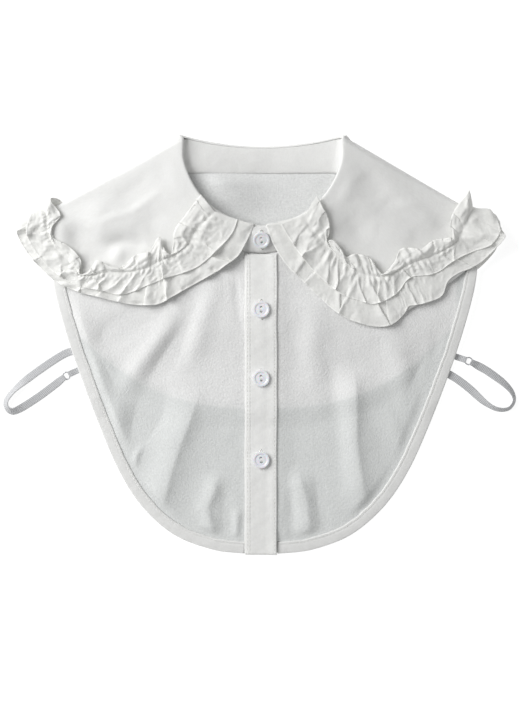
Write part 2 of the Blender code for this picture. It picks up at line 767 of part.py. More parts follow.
def button(name, place, tilt, finish):
    """A turned button with a raised rim, a dished face and two sewing holes."""
    radius = BUTTON_DIAMETER / 2
    profile = (
        (0.0, 1.5),
        (3.2, 1.6),
        (5.0, BUTTON_THICKNESS),
        (radius - 0.4, BUTTON_THICKNESS - 0.2),
        (radius, 0.8),
        (radius - 1.2, 0.0),
        (0.0, 0.0),
    )
    mesh = bpy.data.meshes.new(name)
    points = [(x * MM, 0, z * MM) for x, z in profile]
    lines = [(k, k + 1) for k in range(len(profile) - 1)]
    mesh.from_pydata(points, lines, [])
    piece = bpy.data.objects.new(name, mesh)
    parts.objects.link(piece)
    mesh.materials.append(finish)
    turn = piece.modifiers.new("turn", "SCREW")
    turn.steps = turn.render_steps = 18
    turn.use_merge_vertices = True
    turn.merge_threshold = 0.00001
    for side in (-1, 1):
        cutter = hole_cutter(name, side)
        hole = piece.modifiers.new("sewing hole", "BOOLEAN")
        hole.operation = "DIFFERENCE"
        hole.object = cutter
        cutter.parent = piece
    piece.location = to_frame(place)
    piece.rotation_euler = (tilt, 0, 0)
    return piece


def hole_cutter(name, side):
    shape = bmesh.new()
    bmesh.ops.create_cone(
        shape,
        cap_ends=True,
        segments=8,
        radius1=BUTTON_HOLE_DIAMETER / 2 * MM,
        radius2=BUTTON_HOLE_DIAMETER / 2 * MM,
        depth=8 * MM,
        matrix=Matrix.Translation((0, side * BUTTON_HOLE_SPACING / 2 * MM, 0)),
    )
    mesh = bpy.data.meshes.new(name + "_hole")
    shape.to_mesh(mesh)
    shape.free()
    cutter = bpy.data.objects.new(name + "_hole", mesh)
    cutters.objects.link(cutter)
    cutter.hide_render = True
    cutter.display_type = "WIRE"
    return cutter


def elastic_height(along, length, x, y):
    """Height of a strap or tab: sewn under the front at its start, on the table, then over the ring."""
    under_front = middle(x, y) + FRONT_LAYER - LAYER
    over_ring = RING_HEIGHT + RING_WIRE / 2 + SEAM_GAP + WALL / 2
    sewn = 1 - smooth(along * length / STRAP_END_LENGTH)
    looped = 1 - smooth((1 - along) * length / STRAP_END_LENGTH)
    return WALL / 2 + (under_front - WALL / 2) * sewn + (over_ring - WALL / 2) * looped


def strap(name, points, tilts, finish):
    """A flat elastic band that lies on the table at its ends and stands on edge round its bend."""
    route = curve_through(points)
    count = 26

    def place(along, across):
        point = route(along)
        ahead = (route(min(1, along + 0.02)) - route(max(0, along - 0.02))).normalized()
        sideways = Vector((-ahead.y, ahead.x))
        tilt = math.radians(np.interp(along, [t[0] for t in tilts], [t[1] for t in tilts]))
        looped = 1 - smooth((1 - along) * route.length / STRAP_END_LENGTH)
        width = STRAP_WIDTH + (STRAP_END_WIDTH - STRAP_WIDTH) * looped
        reach = width * (across - 0.5)
        plan = point + sideways * reach * math.cos(tilt)
        rest = elastic_height(along, route.length, point.x, point.y)
        rest += width / 2 * abs(math.sin(tilt)) - WALL / 2 * (1 - math.cos(tilt))
        return (plan.x, plan.y, rest + reach * math.sin(tilt))

    return cloth(name, count, 1, place, finish)


def ring(name, place, finish):
    """A strap ring, lying nearly flat."""
    bpy.ops.mesh.primitive_torus_add(
        major_segments=20,
        minor_segments=6,
        major_radius=(RING_DIAMETER - RING_WIRE) / 2 * MM,
        minor_radius=RING_WIRE / 2 * MM,
        location=to_frame((*place, RING_HEIGHT)),
    )
    piece = bpy.context.object
    piece.name = piece.data.name = name
    for collection in piece.users_collection:
        collection.objects.unlink(piece)
    parts.objects.link(piece)
    piece.data.materials.append(finish)
    return piece


def tab(name, ends, finish):
    """The short elastic that holds the ring, sewn under the front's edge."""
    end, start = Vector(ends[0]), Vector(ends[1])
    sideways = Vector((-(end - start).y, (end - start).x)).normalized()
    length = (end - start).length

    def place(along, across):
        plan = start.lerp(end, along) + sideways * (across - 0.5) * STRAP_END_WIDTH
        return (plan.x, plan.y, elastic_height(along, length, plan.x, plan.y))

    return cloth(name, 8, 1, place, finish)


for leftover in list(bpy.data.objects):
    bpy.data.objects.remove(leftover)
parts = bpy.data.collections.new("detachable_collar")
cutters = bpy.data.collections.new("cutters")
bpy.context.scene.collection.children.link(parts)
bpy.context.scene.collection.children.link(cutters)

poplin = material("white poplin", (0.86, 0.87, 0.86), 0.75)
sheer = material("sheer crepe", (0.80, 0.82, 0.82), 0.8)
elastic = material("grey white elastic", (0.66, 0.66, 0.68), 0.6)
resin = material("white resin", (0.88, 0.89, 0.93), 0.3)
coated = material("coated ring", (0.75, 0.75, 0.76), 0.25)

back_panel(sheer)
front_panel("front_right", -1, RIGHT_FRONT_X, sheer)
front_panel("front_left", 1, LEFT_FRONT_X, sheer)
binding("binding_right", -1, poplin)
binding("binding_left", 1, poplin)
placket(poplin)
neckband(poplin)
collar_fall(poplin)
frill("frill_lower", LOWER_FRILL_ROWS, lower_lift, 46, poplin)
frill("frill_upper", UPPER_FRILL_ROWS, upper_lift, 52, poplin)

seam_y = NECK_CORNER_Y - NECK_FRONT_DROP - BAND_WIDTH_IN_PLAN
band_low = middle(BUTTON_X, seam_y) + FRONT_LAYER + WALL + 0.4
band_high = FOLD_HEIGHTS["front"] - BAND_BELOW_RIM["front"]
band_tilt = math.atan2(band_high - band_low, BAND_WIDTH_IN_PLAN)
button("button_band", (BUTTON_X, BAND_BUTTON_Y, (band_low + band_high) / 2 + 2.2), band_tilt, resin)
for number, y in enumerate(PLACKET_BUTTON_HEIGHTS, 1):
    top = middle(BUTTON_X, y) + FRONT_LAYER + WALL / 2 + SEAM_GAP + PLACKET_WALL
    button(f"button_{number}", (BUTTON_X, y, top + SEAM_GAP + 0.1), 0, resin)

strap("strap_right", RIGHT_STRAP, RIGHT_STRAP_TILTS, elastic)
strap("strap_left", LEFT_STRAP, LEFT_STRAP_TILTS, elastic)
ring("ring_right", RIGHT_RING, coated)
ring("ring_left", LEFT_RING, coated)
tab("tab_right", RIGHT_TAB, elastic)
tab("tab_left", LEFT_TAB, elastic)
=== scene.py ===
import math

import bmesh
import bpy
import numpy as np
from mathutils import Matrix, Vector
from mathutils.bvhtree import BVHTree


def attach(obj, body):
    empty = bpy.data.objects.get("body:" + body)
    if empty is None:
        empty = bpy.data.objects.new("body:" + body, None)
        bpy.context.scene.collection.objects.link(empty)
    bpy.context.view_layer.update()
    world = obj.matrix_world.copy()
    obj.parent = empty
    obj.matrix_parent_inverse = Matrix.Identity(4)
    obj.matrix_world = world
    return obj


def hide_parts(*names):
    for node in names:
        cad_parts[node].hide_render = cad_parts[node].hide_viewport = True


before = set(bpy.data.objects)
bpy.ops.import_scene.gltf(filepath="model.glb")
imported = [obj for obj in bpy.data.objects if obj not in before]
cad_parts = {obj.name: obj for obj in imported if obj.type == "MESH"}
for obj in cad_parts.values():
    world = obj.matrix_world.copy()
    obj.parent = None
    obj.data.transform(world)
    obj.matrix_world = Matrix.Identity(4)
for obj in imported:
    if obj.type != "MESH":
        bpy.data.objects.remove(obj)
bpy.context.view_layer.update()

# Detachable blouse collar lying flat, buttoned. All lengths below are millimetres of the
# garment's own drawing: x from the placket line, y up from the hem, z up from the table.
garment = {
    "shift": (2.0, -167.6),  # where the drawing's zero lies in the frame
    "neckHalfWidth": 66.0,
    "neckCornerY": 335.0,
    "neckFrontDrop": 72.2,
    "neckBackDip": 9.0,
    "neckRoundness": 2.1,
    "bandWidth": 21.6,
    "seamHalfWidth": 62.0,
    "foldHeights": (17.0, 20.0, 12.5),  # front, side, back
    "frontShare": 0.3,  # the front of the neck, each side of its middle, as a share of the turn
    "tableLevel": -0.4,
    "backHemLevel": 1.4,
    "frillLevel": 5.8,
    "frontLayer": 0.9,
    "backLayer": -0.9,
    "fallTop": 3.7,
    "fallUnder": -2.7,
    "layer": 1.3,
    "hemSlope": 18.0,  # the fronts come down over the back panel's hem in this length
    "sideFrom": (116.0, 104.0),  # where they start to lie on its sides, across and up
    "sideSlope": (16.0, 24.0),
    "frillFrom": 142.0,  # where they start to rise on what lies under the shoulders
    "frillSlope": 58.0,
    "cornerRise": 6.0,  # at the neck's corners, and how far across and up it spreads
    "cornerSpread": (92.0, 84.0),
    "cornerSoft": 8.0,
    "rollLength": 62.0,  # how far out the leaves come down from their fold
}
mm = 0.001
rollRadius = (garment["fallTop"] - garment["fallUnder"]) / 2
rollLayer = (garment["fallTop"] + garment["fallUnder"]) / 2


def smooth(t):
    t = np.clip(t, 0.0, 1.0)
    return t * t * (3 - 2 * t)


def bump(t):
    return np.exp(-np.square(t))


def curveThrough(points):
    table = np.array(points, float)
    padded = np.vstack((2 * table[0] - table[1], table, 2 * table[-1] - table[-2]))
    steps = np.linspace(0, 1, 24, endpoint=False)[:, None]
    dense = []
    for a, b, c, d in zip(padded, padded[1:], padded[2:], padded[3:]):
        curve = b + 0.5 * steps * (c - a) + steps**2 * (a - 2.5 * b + 2 * c - 0.5 * d)
        dense.append(curve + steps**3 * (-0.5 * a + 1.5 * b - 1.5 * c + 0.5 * d))
    dense = np.vstack((*dense, table[-1]))
    steps = np.linalg.norm(np.diff(dense, axis=0), axis=1)
    return dense, np.concatenate(([0], np.cumsum(steps)))


def onCurve(curve, share):
    dense, lengths = curve
    place = np.clip(share, 0, 1) * lengths[-1]
    return np.stack([np.interp(place, lengths, axis) for axis in dense.T], axis=-1)


def byStation(table, u):
    # smooth curve through given stations, read by station number
    table = np.asarray(table, float)
    last = len(table) - 1
    u = np.clip(u, 0, last)
    k = np.minimum(np.floor(u).astype(int), last - 1)
    t = (u - k)[..., None]
    a, b = table[np.maximum(k - 1, 0)], table[k]
    c, d = table[k + 1], table[np.minimum(k + 2, last)]
    curve = b + 0.5 * t * (c - a) + t**2 * (a - 2.5 * b + 2 * c - 0.5 * d)
    return curve + t**3 * (-0.5 * a + 1.5 * b - 1.5 * c + 0.5 * d)


def unit(vectors):
    return vectors / np.maximum(np.linalg.norm(vectors, axis=-1, keepdims=True), 1e-9)


def ripples(x, y, length, seed):
    # even, seeded small waves in all directions, from -1 to 1
    rng = np.random.default_rng(seed)
    total = 0.0
    for _ in range(7):
        angle, phase, scale = rng.uniform(0, math.pi), rng.uniform(0, 6.28), rng.uniform(0.7, 1.5)
        across = x * math.cos(angle) + y * math.sin(angle)
        total = total + np.sin(across * 2 * math.pi / (length * scale) + phase)
    return total / 4.0


def crumple(x, y, length, seed):
    # sharp small ridges between soft facets, as in thin crushed cloth
    return 0.55 - 1.3 * np.abs(ripples(x, y, length, seed))


frontEdge = curveThrough(
    [(0, 1), (20, 1.8), (40, 4.6), (66, 13.8), (86, 28), (103.2, 47.2), (117.5, 71.2),
     (130.2, 100), (141.4, 129), (151.8, 158), (160.4, 186.4), (167.6, 215.2), (170.4, 240), (171, 262.5)]
)
rightLeaf = curveThrough(
    [(-6.8, 262.4), (-26, 238), (-59, 214), (-92, 200), (-130, 203), (-166, 219),
     (-188, 241), (-195, 258.5)]
)
leftLeaf = curveThrough(
    [(3.6, 262.4), (19.6, 231), (43, 207.5), (77, 186.5), (103, 186.5), (130, 200.5),
     (163, 224), (186, 244), (192, 257)]
)
backLeaf = curveThrough(
    [(-195, 258.5), (-186, 241), (-160, 221), (-110, 205), (-50, 197), (0, 195),
     (50, 197), (110, 205), (160, 221), (184, 240), (192, 257)]
)
shoulderEnds = {-1: np.array((-195.0, 258.5)), 1: np.array((192.0, 257.0))}
shoulderTip = (171.0, 264.0)
bindingWidth = 8.8


def backHemY(x):
    return 117.6 + 54.0 * (np.abs(x) / 142.0) ** 2.6


def neckMeasure(x, y):
    across = np.abs(x) / garment["neckHalfWidth"]
    down = np.maximum(0.0, garment["neckCornerY"] - y) / garment["neckFrontDrop"]
    power = garment["neckRoundness"]
    return (across**power + down**power) ** (1 / power)


def middle(x, y):
    # height of the middle of the garment over the table
    sideX, sideY = garment["sideFrom"]
    slopeX, slopeY = garment["sideSlope"]
    spreadX, spreadY = garment["cornerSpread"]
    overBack = smooth((y - backHemY(x) + garment["hemSlope"]) / garment["hemSlope"])
    bySide = smooth((np.abs(x) - sideX) / slopeX) * smooth((y - sideY) / slopeY)
    overBack = np.maximum(overBack, bySide)
    overFrill = smooth((y - garment["frillFrom"]) / garment["frillSlope"])
    height = garment["tableLevel"] + (garment["backHemLevel"] - garment["tableLevel"]) * overBack
    height = height + (garment["frillLevel"] - garment["backHemLevel"]) * overFrill
    fromCornerX = np.hypot(x, garment["cornerSoft"]) - garment["neckHalfWidth"]
    fromCornerY = y - garment["neckCornerY"] + garment["bandWidth"]
    toCorner = np.hypot(fromCornerX / spreadX, fromCornerY / spreadY)
    return height + garment["cornerRise"] * smooth(1 - toCorner)


def fallRest(x, y):
    # height of the collar's front leaves, sloping down from the fold line
    measure = neckMeasure(x, y)
    across = np.minimum(1.0, np.abs(x) / garment["neckHalfWidth"] / np.maximum(measure, 0.01))
    front, side, _ = garment["foldHeights"]
    fold = front + (side - front) * across**2
    rest = middle(x, y) + garment["fallTop"]
    away = np.maximum(0.0, measure - 1) * garment["neckHalfWidth"]
    near = np.maximum(0.0, 1 - away / garment["rollLength"]) ** 2
    return rest + np.maximum(0.0, fold - rest) * near


def fromLine(x, y, points):
    # distance to a line of several points, below zero on its right, and the share along it
    points = np.array(points, float)
    lengths = np.linalg.norm(np.diff(points, axis=0), axis=1)
    before = np.concatenate(([0], np.cumsum(lengths)))
    best = np.full(np.shape(x), 1e9)
    share = np.zeros(np.shape(x))
    hand = np.ones(np.shape(x))
    for k, (a, b) in enumerate(zip(points, points[1:])):
        ax, ay = b - a
        t = np.clip(((x - a[0]) * ax + (y - a[1]) * ay) / (ax * ax + ay * ay), 0, 1)
        off = np.hypot(x - a[0] - t * ax, y - a[1] - t * ay)
        near = off < best
        best = np.where(near, off, best)
        share = np.where(near, (before[k] + t * lengths[k]) / before[-1], share)
        hand = np.where(near, np.where(ax * (y - a[1]) > ay * (x - a[0]), 1, -1), hand)
    return best * hand, share


def creases(x, y, table):
    # given folds: (points, height, half width), fading out at both ends
    height = 0.0
    for points, rise, width in table:
        off, share = fromLine(x, y, points)
        height = height + rise * bump(off / width) * np.sin(math.pi * (0.1 + 0.8 * share)) ** 0.8
    return height


def pressed(x, y, table):
    # folds pressed to an edge, drawn downwards: (points, height, half widths left and right)
    height = 0.0
    for points, rise, left, right in table:
        off, share = fromLine(x, y, points)
        slope = np.where(off < 0, bump(off / left), np.exp(-np.abs(off) / right))
        height = height + rise * slope * smooth(share * 3.5) * (1 - 0.6 * smooth(share * 4 - 3))
    return height


# Folds of both fronts, as they lie: the wearer's right front has x below zero
pressedFolds = [
    ([(-48, 138), (-57.7, 107.2), (-66.3, 84.5), (-72.9, 65.5), (-79.5, 39), (-84, 24)], 5.2, 17.0, 11.0),
    ([(74, 156), (75.7, 120.4), (75.7, 90.1), (78.6, 67.4), (83.3, 40.9), (86, 30)], 5.2, 15.0, 10.0),
    ([(-34, 68), (-38, 50), (-43.5, 37), (-37, 10)], 3.2, 9.0, 5.0),
    ([(-18, 38), (-20.8, 10)], 2.0, 5.0, 3.0),
    ([(27, 72), (36, 44), (39, 12)], 3.4, 11.0, 6.0),
]
frontFolds = [
    ([(-84, 200), (-104, 188), (-134, 166)], -2.6, 9.0),
    ([(-50, 206), (-70, 172), (-92, 134)], -2.6, 9.5),
    ([(-66, 190), (-84, 168), (-110, 136)], 3.6, 9.0),
    ([(-40, 214), (-50, 186), (-56, 156)], 2.0, 9.0),
    ([(-21, 222), (-17, 186)], -1.2, 4.0),
    ([(-98, 84.8), (-101, 79), (-102.8, 71.2)], 1.4, 2.6),
    ([(-78, 130), (-92, 108), (-110, 88)], -2.0, 10.0),
    ([(-112, 128), (-120, 100)], 2.2, 10.0),
    ([(-30, 48), (-27, 12)], -1.2, 4.5),
    ([(56, 150), (60, 110), (66, 60)], -1.6, 8.0),
    ([(140, 172), (152, 150)], -1.6, 8.0),
    ([(104, 176), (112, 150), (118, 112)], 2.8, 11.0),
    ([(44, 60), (50, 18)], -1.4, 5.0),
    ([(22, 60), (25.2, 20.8)], -1.0, 4.0),
    ([(18, 20), (17, 8)], 0.9, 3.0),
    ([(44, 196), (40, 168), (42, 136)], 2.0, 10.0),
    ([(96, 118), (116, 84), (118, 76)], 1.6, 9.0),
    ([(-150, 196), (-137, 160), (-124, 120), (-108, 86)], 3.0, 12.0),
]
edgePoints = onCurve(frontEdge, np.linspace(0, 1, 120))


def edgeDistance(x, y):
    best = np.full(np.shape(x), 1e9)
    for px, py in edgePoints:
        best = np.minimum(best, np.hypot(np.abs(x) - px, y - py))
    return best


def softFloor(values, start, depth):
    # below the start they level off softly, by this depth at most
    below = np.exp(np.minimum(values - start, 0) / depth)
    return np.where(values < start, start - depth + depth * below, values)


frontShape = {
    "flatEdge": (9.0, 8.0),  # no folds this near the binding, and full ones this much further in
    "flatMiddle": (13, 9),  # the same at the placket
    "broad": (0.22, 34.0),  # unevenness, its height and length
    "fine": (0.07, 11.0),
    "onBack": (-0.5, 0.6),  # where a trough starts to level off on the back panel, and how softly
    "onTable": (0.7, 0.4),
    "besidePlacket": 1.8,  # rise of the left front where it comes out from under the placket
}


def frontHeight(x, y):
    edgeStart, edgeFade = frontShape["flatEdge"]
    middleStart, middleFade = frontShape["flatMiddle"]
    inside = smooth((edgeDistance(x, y) - edgeStart) / edgeFade)
    inside = inside * smooth((np.abs(x) - middleStart) / middleFade)
    (broad, broadLength), (fine, fineLength) = frontShape["broad"], frontShape["fine"]
    small = broad * ripples(x, y, broadLength, 3) + fine * ripples(x, y, fineLength, 4)
    folds = (creases(x, y, frontFolds) + pressed(x, y, pressedFolds) + small) * inside
    folds = softFloor(folds, *frontShape["onBack"])
    slope = bump((x - 10.5) / np.where(x < 10.5, 5.0, 10.0)) * smooth((y - 8) / 14)
    height = middle(x, y) + garment["frontLayer"] + folds + frontShape["besidePlacket"] * slope
    return softFloor(height, *frontShape["onTable"])


# Building


def toFrame(points):
    shiftX, shiftY = garment["shift"]
    return (np.asarray(points, float) + (shiftX, shiftY, 0.0)) * mm


def deselect():
    bpy.ops.object.select_all(action="DESELECT")


def selectOnly(*pieces):
    deselect()
    for piece in pieces:
        piece.select_set(True)
    bpy.context.view_layer.objects.active = pieces[0]


def named(piece, name):
    piece.name = piece.data.name = name
    return piece


def copyOf(blank):
    # with its own mesh
    copy = blank.copy()
    copy.data = blank.data.copy()
    bpy.context.collection.objects.link(copy)
    return copy


def gridMesh(name, points, uvSize):
    # a flat grid, as the cloth is cut, then each point moved to where it lies
    columns, rows = points.shape[:2]
    deselect()
    bpy.ops.mesh.primitive_grid_add(x_subdivisions=columns - 1, y_subdivisions=rows - 1, size=2)
    piece = named(bpy.context.object, name)
    mesh = piece.data
    flat = np.empty(len(mesh.vertices) * 3)
    mesh.vertices.foreach_get("co", flat)
    flat = flat.reshape(-1, 3)
    column = np.rint((flat[:, 0] + 1) / 2 * (columns - 1)).astype(int)
    row = np.rint((flat[:, 1] + 1) / 2 * (rows - 1)).astype(int)
    corners = np.empty(len(mesh.loops), int)
    mesh.loops.foreach_get("vertex_index", corners)
    uv = mesh.uv_layers.active
    uv.name = "cut"
    flatUv = np.stack((column / (columns - 1), row / (rows - 1)), axis=1) * np.array(uvSize) * mm
    uv.data.foreach_set("uv", flatUv[corners].ravel())
    mesh.vertices.foreach_set("co", toFrame(points[column, row]).ravel())
    mesh.update()
    return piece, column, row


def applyAll(piece):
    selectOnly(piece)
    for modifier in list(piece.modifiers):
        bpy.ops.object.modifier_apply(modifier=modifier.name)
    piece.data.shade_smooth()


def clothPiece(name, points, cut, wall, node, edge=None, values=None):
    # edge: how thick each point of the grid is, as a share of the wall
    piece, column, row = gridMesh(name, points, cut)
    shell = piece.modifiers.new("wall", "SOLIDIFY")
    shell.thickness = wall * mm
    shell.offset = 0.0
    if edge is not None:
        group = piece.vertex_groups.new(name="thickness")
        share = np.asarray(edge)[column, row]
        for level in np.unique(np.round(share, 2)):
            chosen = np.flatnonzero(np.round(share, 2) == level)
            group.add([int(k) for k in chosen], float(level), "REPLACE")
        shell.vertex_group = "thickness"
    for label, value in (values or {}).items():
        layer = piece.data.attributes.new(label, "FLOAT", "POINT")
        layer.data.foreach_set("value", np.asarray(value, float)[column, row].astype(np.float32))
    applyAll(piece)
    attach(piece, "root")
    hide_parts(node)
    return piece


def treeOf(*grids):
    # what lies below, for the next layer to rest on
    verts, faces = [], []
    for points in grids:
        columns, rows = points.shape[:2]
        start = len(verts)
        verts += [tuple(p) for p in points.reshape(-1, 3)]
        for k in range(columns - 1):
            for j in range(rows - 1):
                a = start + k * rows + j
                faces.append((a, a + rows, a + rows + 1, a + 1))
    return BVHTree.FromPolygons(verts, faces)


def blurred(values, times):
    for _ in range(times):
        p = np.pad(values, 1, mode="edge")
        values = (p[1:-1, 1:-1] * 2 + p[:-2, 1:-1] + p[2:, 1:-1] + p[1:-1, :-2] + p[1:-1, 2:]) / 6
    return values


aboveAll = 90.0  # rays start here, over every piece


def liftedOver(points, tree, clearance, live, times=3):
    # raises a layer where it would pass through what it lies on, and evens that out; live says
    # which points may rise
    need = np.zeros(points.shape[:2])
    down = Vector((0, 0, -1))
    for k in range(points.shape[0]):
        for j in range(points.shape[1]):
            if not live[k, j]:
                continue
            x, y, z = points[k, j]
            hit = tree.ray_cast(Vector((x, y, aboveAll)), down)[0]
            if hit is not None:
                need[k, j] = max(0.0, hit.z + clearance - z)
    for _ in range(times):
        need = np.maximum(need, blurred(need, 2))
    lifted = points.copy()
    lifted[..., 2] += need * blurred(live.astype(float), 3)
    return lifted


# Materials


def hexColour(code):
    channels = [int(code[k : k + 2], 16) / 255 for k in (1, 3, 5)]
    return (*[c / 12.92 if c < 0.04045 else ((c + 0.055) / 1.055) ** 2.4 for c in channels], 1.0)


def addNode(tree, kind, settings=None, links=None):
    node = tree.nodes.new("ShaderNode" + kind)
    for key, value in (settings or {}).items():
        if isinstance(key, int) or key in node.inputs:
            node.inputs[key].default_value = value
        else:
            setattr(node, key, value)
    for key, socket in (links or {}).items():
        tree.links.new(socket, node.inputs[key])
    return node


def newMaterial(name, settings):
    material = bpy.data.materials.new(name)
    material.use_nodes = True
    tree = material.node_tree
    shader = tree.nodes["Principled BSDF"]
    for key, value in settings.items():
        shader.inputs[key].default_value = value
    return material, tree, shader


def wovenCotton(name, look):
    # plain-woven cotton, soft and matt, with a faint sheen from its fibre ends; in the thinnest,
    # a little even light stands for what comes through it from the white surface below
    material, tree, shader = newMaterial(
        name,
        {
            "Roughness": look["roughness"],
            "Sheen Weight": look["sheen"],
            "Sheen Roughness": 0.45,
            "Sheen Tint": hexColour("#fdfdfb"),
            "Specular IOR Level": 0.25,
            "Subsurface Weight": look["glow"],
            "Subsurface Radius": (1.0, 1.0, 0.95),
            "Subsurface Scale": 0.0015,
            "Emission Color": hexColour("#fffffc"),
            "Emission Strength": look["through"],
        },
    )
    place = addNode(tree, "TexCoord").outputs["Object"]
    cut = addNode(tree, "UVMap", {"uv_map": "cut"}).outputs["UV"]
    broad = addNode(tree, "TexNoise", {"Scale": 22.0, "Detail": 3.0}, {"Vector": place})
    slub = addNode(tree, "Mapping", {"Scale": look["slub"]}, {"Vector": cut}).outputs["Vector"]
    threads = addNode(tree, "TexNoise", {"Scale": 1.0, "Detail": 2.0}, {"Vector": slub})
    tones = {"data_type": "RGBA", 6: hexColour(look["shade"]), 7: hexColour(look["colour"])}
    colour = addNode(tree, "Mix", tones, {0: broad.outputs["Fac"]}).outputs[2]
    if "paintedSingleShade" in look:
        # painted see-through shade: where one thin layer lies alone its colour is painted greyer, standing
        # in for light lost through it, and where it is backed, as over the back or in a hem, it keeps the
        # paler tone
        paintedBackedLight = addNode(tree, "Attribute", {"attribute_name": "paintedBackedLight"})
        tones = {"data_type": "RGBA", 6: hexColour(look["paintedSingleShade"])}
        colour = addNode(tree, "Mix", tones, {0: paintedBackedLight.outputs["Fac"], 7: colour}).outputs[2]
    grey = addNode(tree, "RGBToBW", None, {"Color": threads.outputs["Color"]})
    lift = addNode(tree, "MapRange", {1: 0.3, 2: 0.7, 3: 0.82, 4: 1.0}, {"Value": grey.outputs["Val"]})
    fleck = {"data_type": "RGBA", "blend_type": "MULTIPLY", 0: look["fleck"]}
    flecked = addNode(tree, "Mix", fleck, {6: colour, 7: lift.outputs["Result"]})
    tree.links.new(flecked.outputs[2], shader.inputs["Base Color"])
    # threads lie every 0.28 mm, drawn at about 1 mm so that the weave shows as a fine grain
    lines = {"Scale": 2 * math.pi / (look["thread"] * mm) / 20, "Distortion": 0.8, "Detail": 1.0}
    warp = addNode(tree, "TexWave", lines, {"Vector": cut}).outputs["Fac"]
    weft = addNode(tree, "TexWave", {"bands_direction": "Y", **lines}, {"Vector": cut}).outputs["Fac"]
    weave = addNode(tree, "Math", {"operation": "MAXIMUM"}, {0: warp, 1: weft}).outputs["Value"]
    depth = {"Strength": 0.5, "Distance": look["weaveDepth"] * mm}
    grain = addNode(tree, "Bump", depth, {"Height": weave}).outputs["Normal"]
    crush = addNode(tree, "TexNoise", {"Scale": look["crushScale"], "Detail": 4.0}, {"Vector": place})
    depth = {"Strength": 0.6, "Distance": look["crushDepth"] * mm}
    creased = addNode(tree, "Bump", depth, {"Height": crush.outputs["Fac"], "Normal": grain})
    tree.links.new(creased.outputs["Normal"], shader.inputs["Normal"])
    return material


poplin = wovenCotton(
    "white cotton poplin",
    {
        "colour": "#f5f5f3",
        "shade": "#f0f0ee",
        "roughness": 0.78,
        "sheen": 0.12,
        "glow": 0.15,
        "through": 0.0,
        "fleck": 0.3,
        "slub": (900.0, 500.0, 1.0),
        "thread": 0.9,
        "weaveDepth": 0.05,
        "crushScale": 160.0,
        "crushDepth": 0.5,
    },
)
crepe = wovenCotton(
    "sheer white crepe",
    {
        "colour": "#fafaf9",
        "shade": "#f5f5f4",
        # painted see-through grey of one layer lying alone
        "paintedSingleShade": "#e4e6e5",
        "roughness": 0.82,
        "sheen": 0.1,
        "glow": 0.12,
        "through": 0.0,
        "fleck": 0.75,
        "slub": (950.0, 800.0, 1.0),
        "thread": 1.1,
        "weaveDepth": 0.08,
        "crushScale": 620.0,
        "crushDepth": 0.75,
    },
)
voile = wovenCotton(
    "white cotton voile",
    {
        "colour": "#f7f7f4",
        "shade": "#f3f3f0",
        # painted see-through grey of one layer lying alone
        "paintedSingleShade": "#eaeae7",
        "roughness": 0.75,
        "sheen": 0.2,
        "glow": 0.12,
        "through": 0.05,
        "fleck": 0.35,
        "slub": (900.0, 500.0, 1.0),
        "thread": 0.9,
        "weaveDepth": 0.05,
        "crushScale": 260.0,
        "crushDepth": 0.9,
    },
)


def knittedElastic():
    # knitted elastic tape: dull grey white, with ribs across it over the rubber
    settings = {"Roughness": 0.7, "Sheen Weight": 0.15, "Specular IOR Level": 0.3}
    material, tree, shader = newMaterial("knitted elastic tape", settings)
    cut = addNode(tree, "UVMap", {"uv_map": "cut"}).outputs["UV"]
    ribLines = {"bands_direction": "Y", "Scale": 2 * math.pi / (1.1 * mm) / 20, "Distortion": 0.3}
    loopLines = {"Scale": 2 * math.pi / (1.3 * mm) / 20, "Distortion": 1.2, "Detail": 2.0}
    ribs = addNode(tree, "TexWave", ribLines, {"Vector": cut}).outputs["Fac"]
    loops = addNode(tree, "TexWave", loopLines, {"Vector": cut}).outputs["Fac"]
    ramp = addNode(tree, "ValToRGB", None, {"Fac": ribs})
    ramp.color_ramp.elements[0].color = hexColour("#b2b4b7")
    ramp.color_ramp.elements[1].color = hexColour("#dcdcdd")
    tree.links.new(ramp.outputs["Color"], shader.inputs["Base Color"])
    both = addNode(tree, "Math", {"operation": "ADD"}, {0: ribs, 1: loops}).outputs["Value"]
    knit = addNode(tree, "Bump", {"Strength": 0.8, "Distance": 0.18 * mm}, {"Height": both})
    tree.links.new(knit.outputs["Normal"], shader.inputs["Normal"])
    return material


def smoothSolid(name, settings, tones, cloud, relief, marks=None):
    # two near tones clouded together, and fine marks in the surface; cloud and marks are the
    # scale and detail of their noise, relief its strength and depth
    material, tree, shader = newMaterial(name, settings)
    place = addNode(tree, "TexCoord").outputs["Object"]
    noise = addNode(tree, "TexNoise", {"Scale": cloud[0], "Detail": cloud[1]}, {"Vector": place})
    mix = {"data_type": "RGBA", 6: hexColour(tones[0]), 7: hexColour(tones[1])}
    tone = addNode(tree, "Mix", mix, {0: noise.outputs["Fac"]})
    tree.links.new(tone.outputs[2], shader.inputs["Base Color"])
    if marks:
        noise = addNode(tree, "TexNoise", {"Scale": marks[0], "Detail": marks[1]}, {"Vector": place})
    depth = {"Strength": relief[0], "Distance": relief[1] * mm}
    raised = addNode(tree, "Bump", depth, {"Height": noise.outputs["Fac"]})
    tree.links.new(raised.outputs["Normal"], shader.inputs["Normal"])
    return material


elastic = knittedElastic()
# polyester resin, turned and polished: hard, glossy, slightly blue white with a milky depth
resin = smoothSolid(
    "white polyester resin",
    {
        "Roughness": 0.3,
        "IOR": 1.55,
        "Coat Weight": 0.25,
        "Coat Roughness": 0.08,
        "Subsurface Weight": 0.15,
        "Subsurface Scale": 0.002,
    },
    tones=("#eceef4", "#f7f7fb"),
    cloud=(260.0, 3.0),
    relief=(0.15, 0.05),
    marks=(1800.0, 2.0),
)
# steel wire dipped in nylon: light grey, even and glossy
coated = smoothSolid(
    "nylon coated steel",
    {"Roughness": 0.22, "Metallic": 0.35, "Coat Weight": 0.6, "Coat Roughness": 0.1},
    tones=("#b9babd", "#dadbdd"),
    cloud=(900.0, 3.0),
    relief=(0.2, 0.05),
)
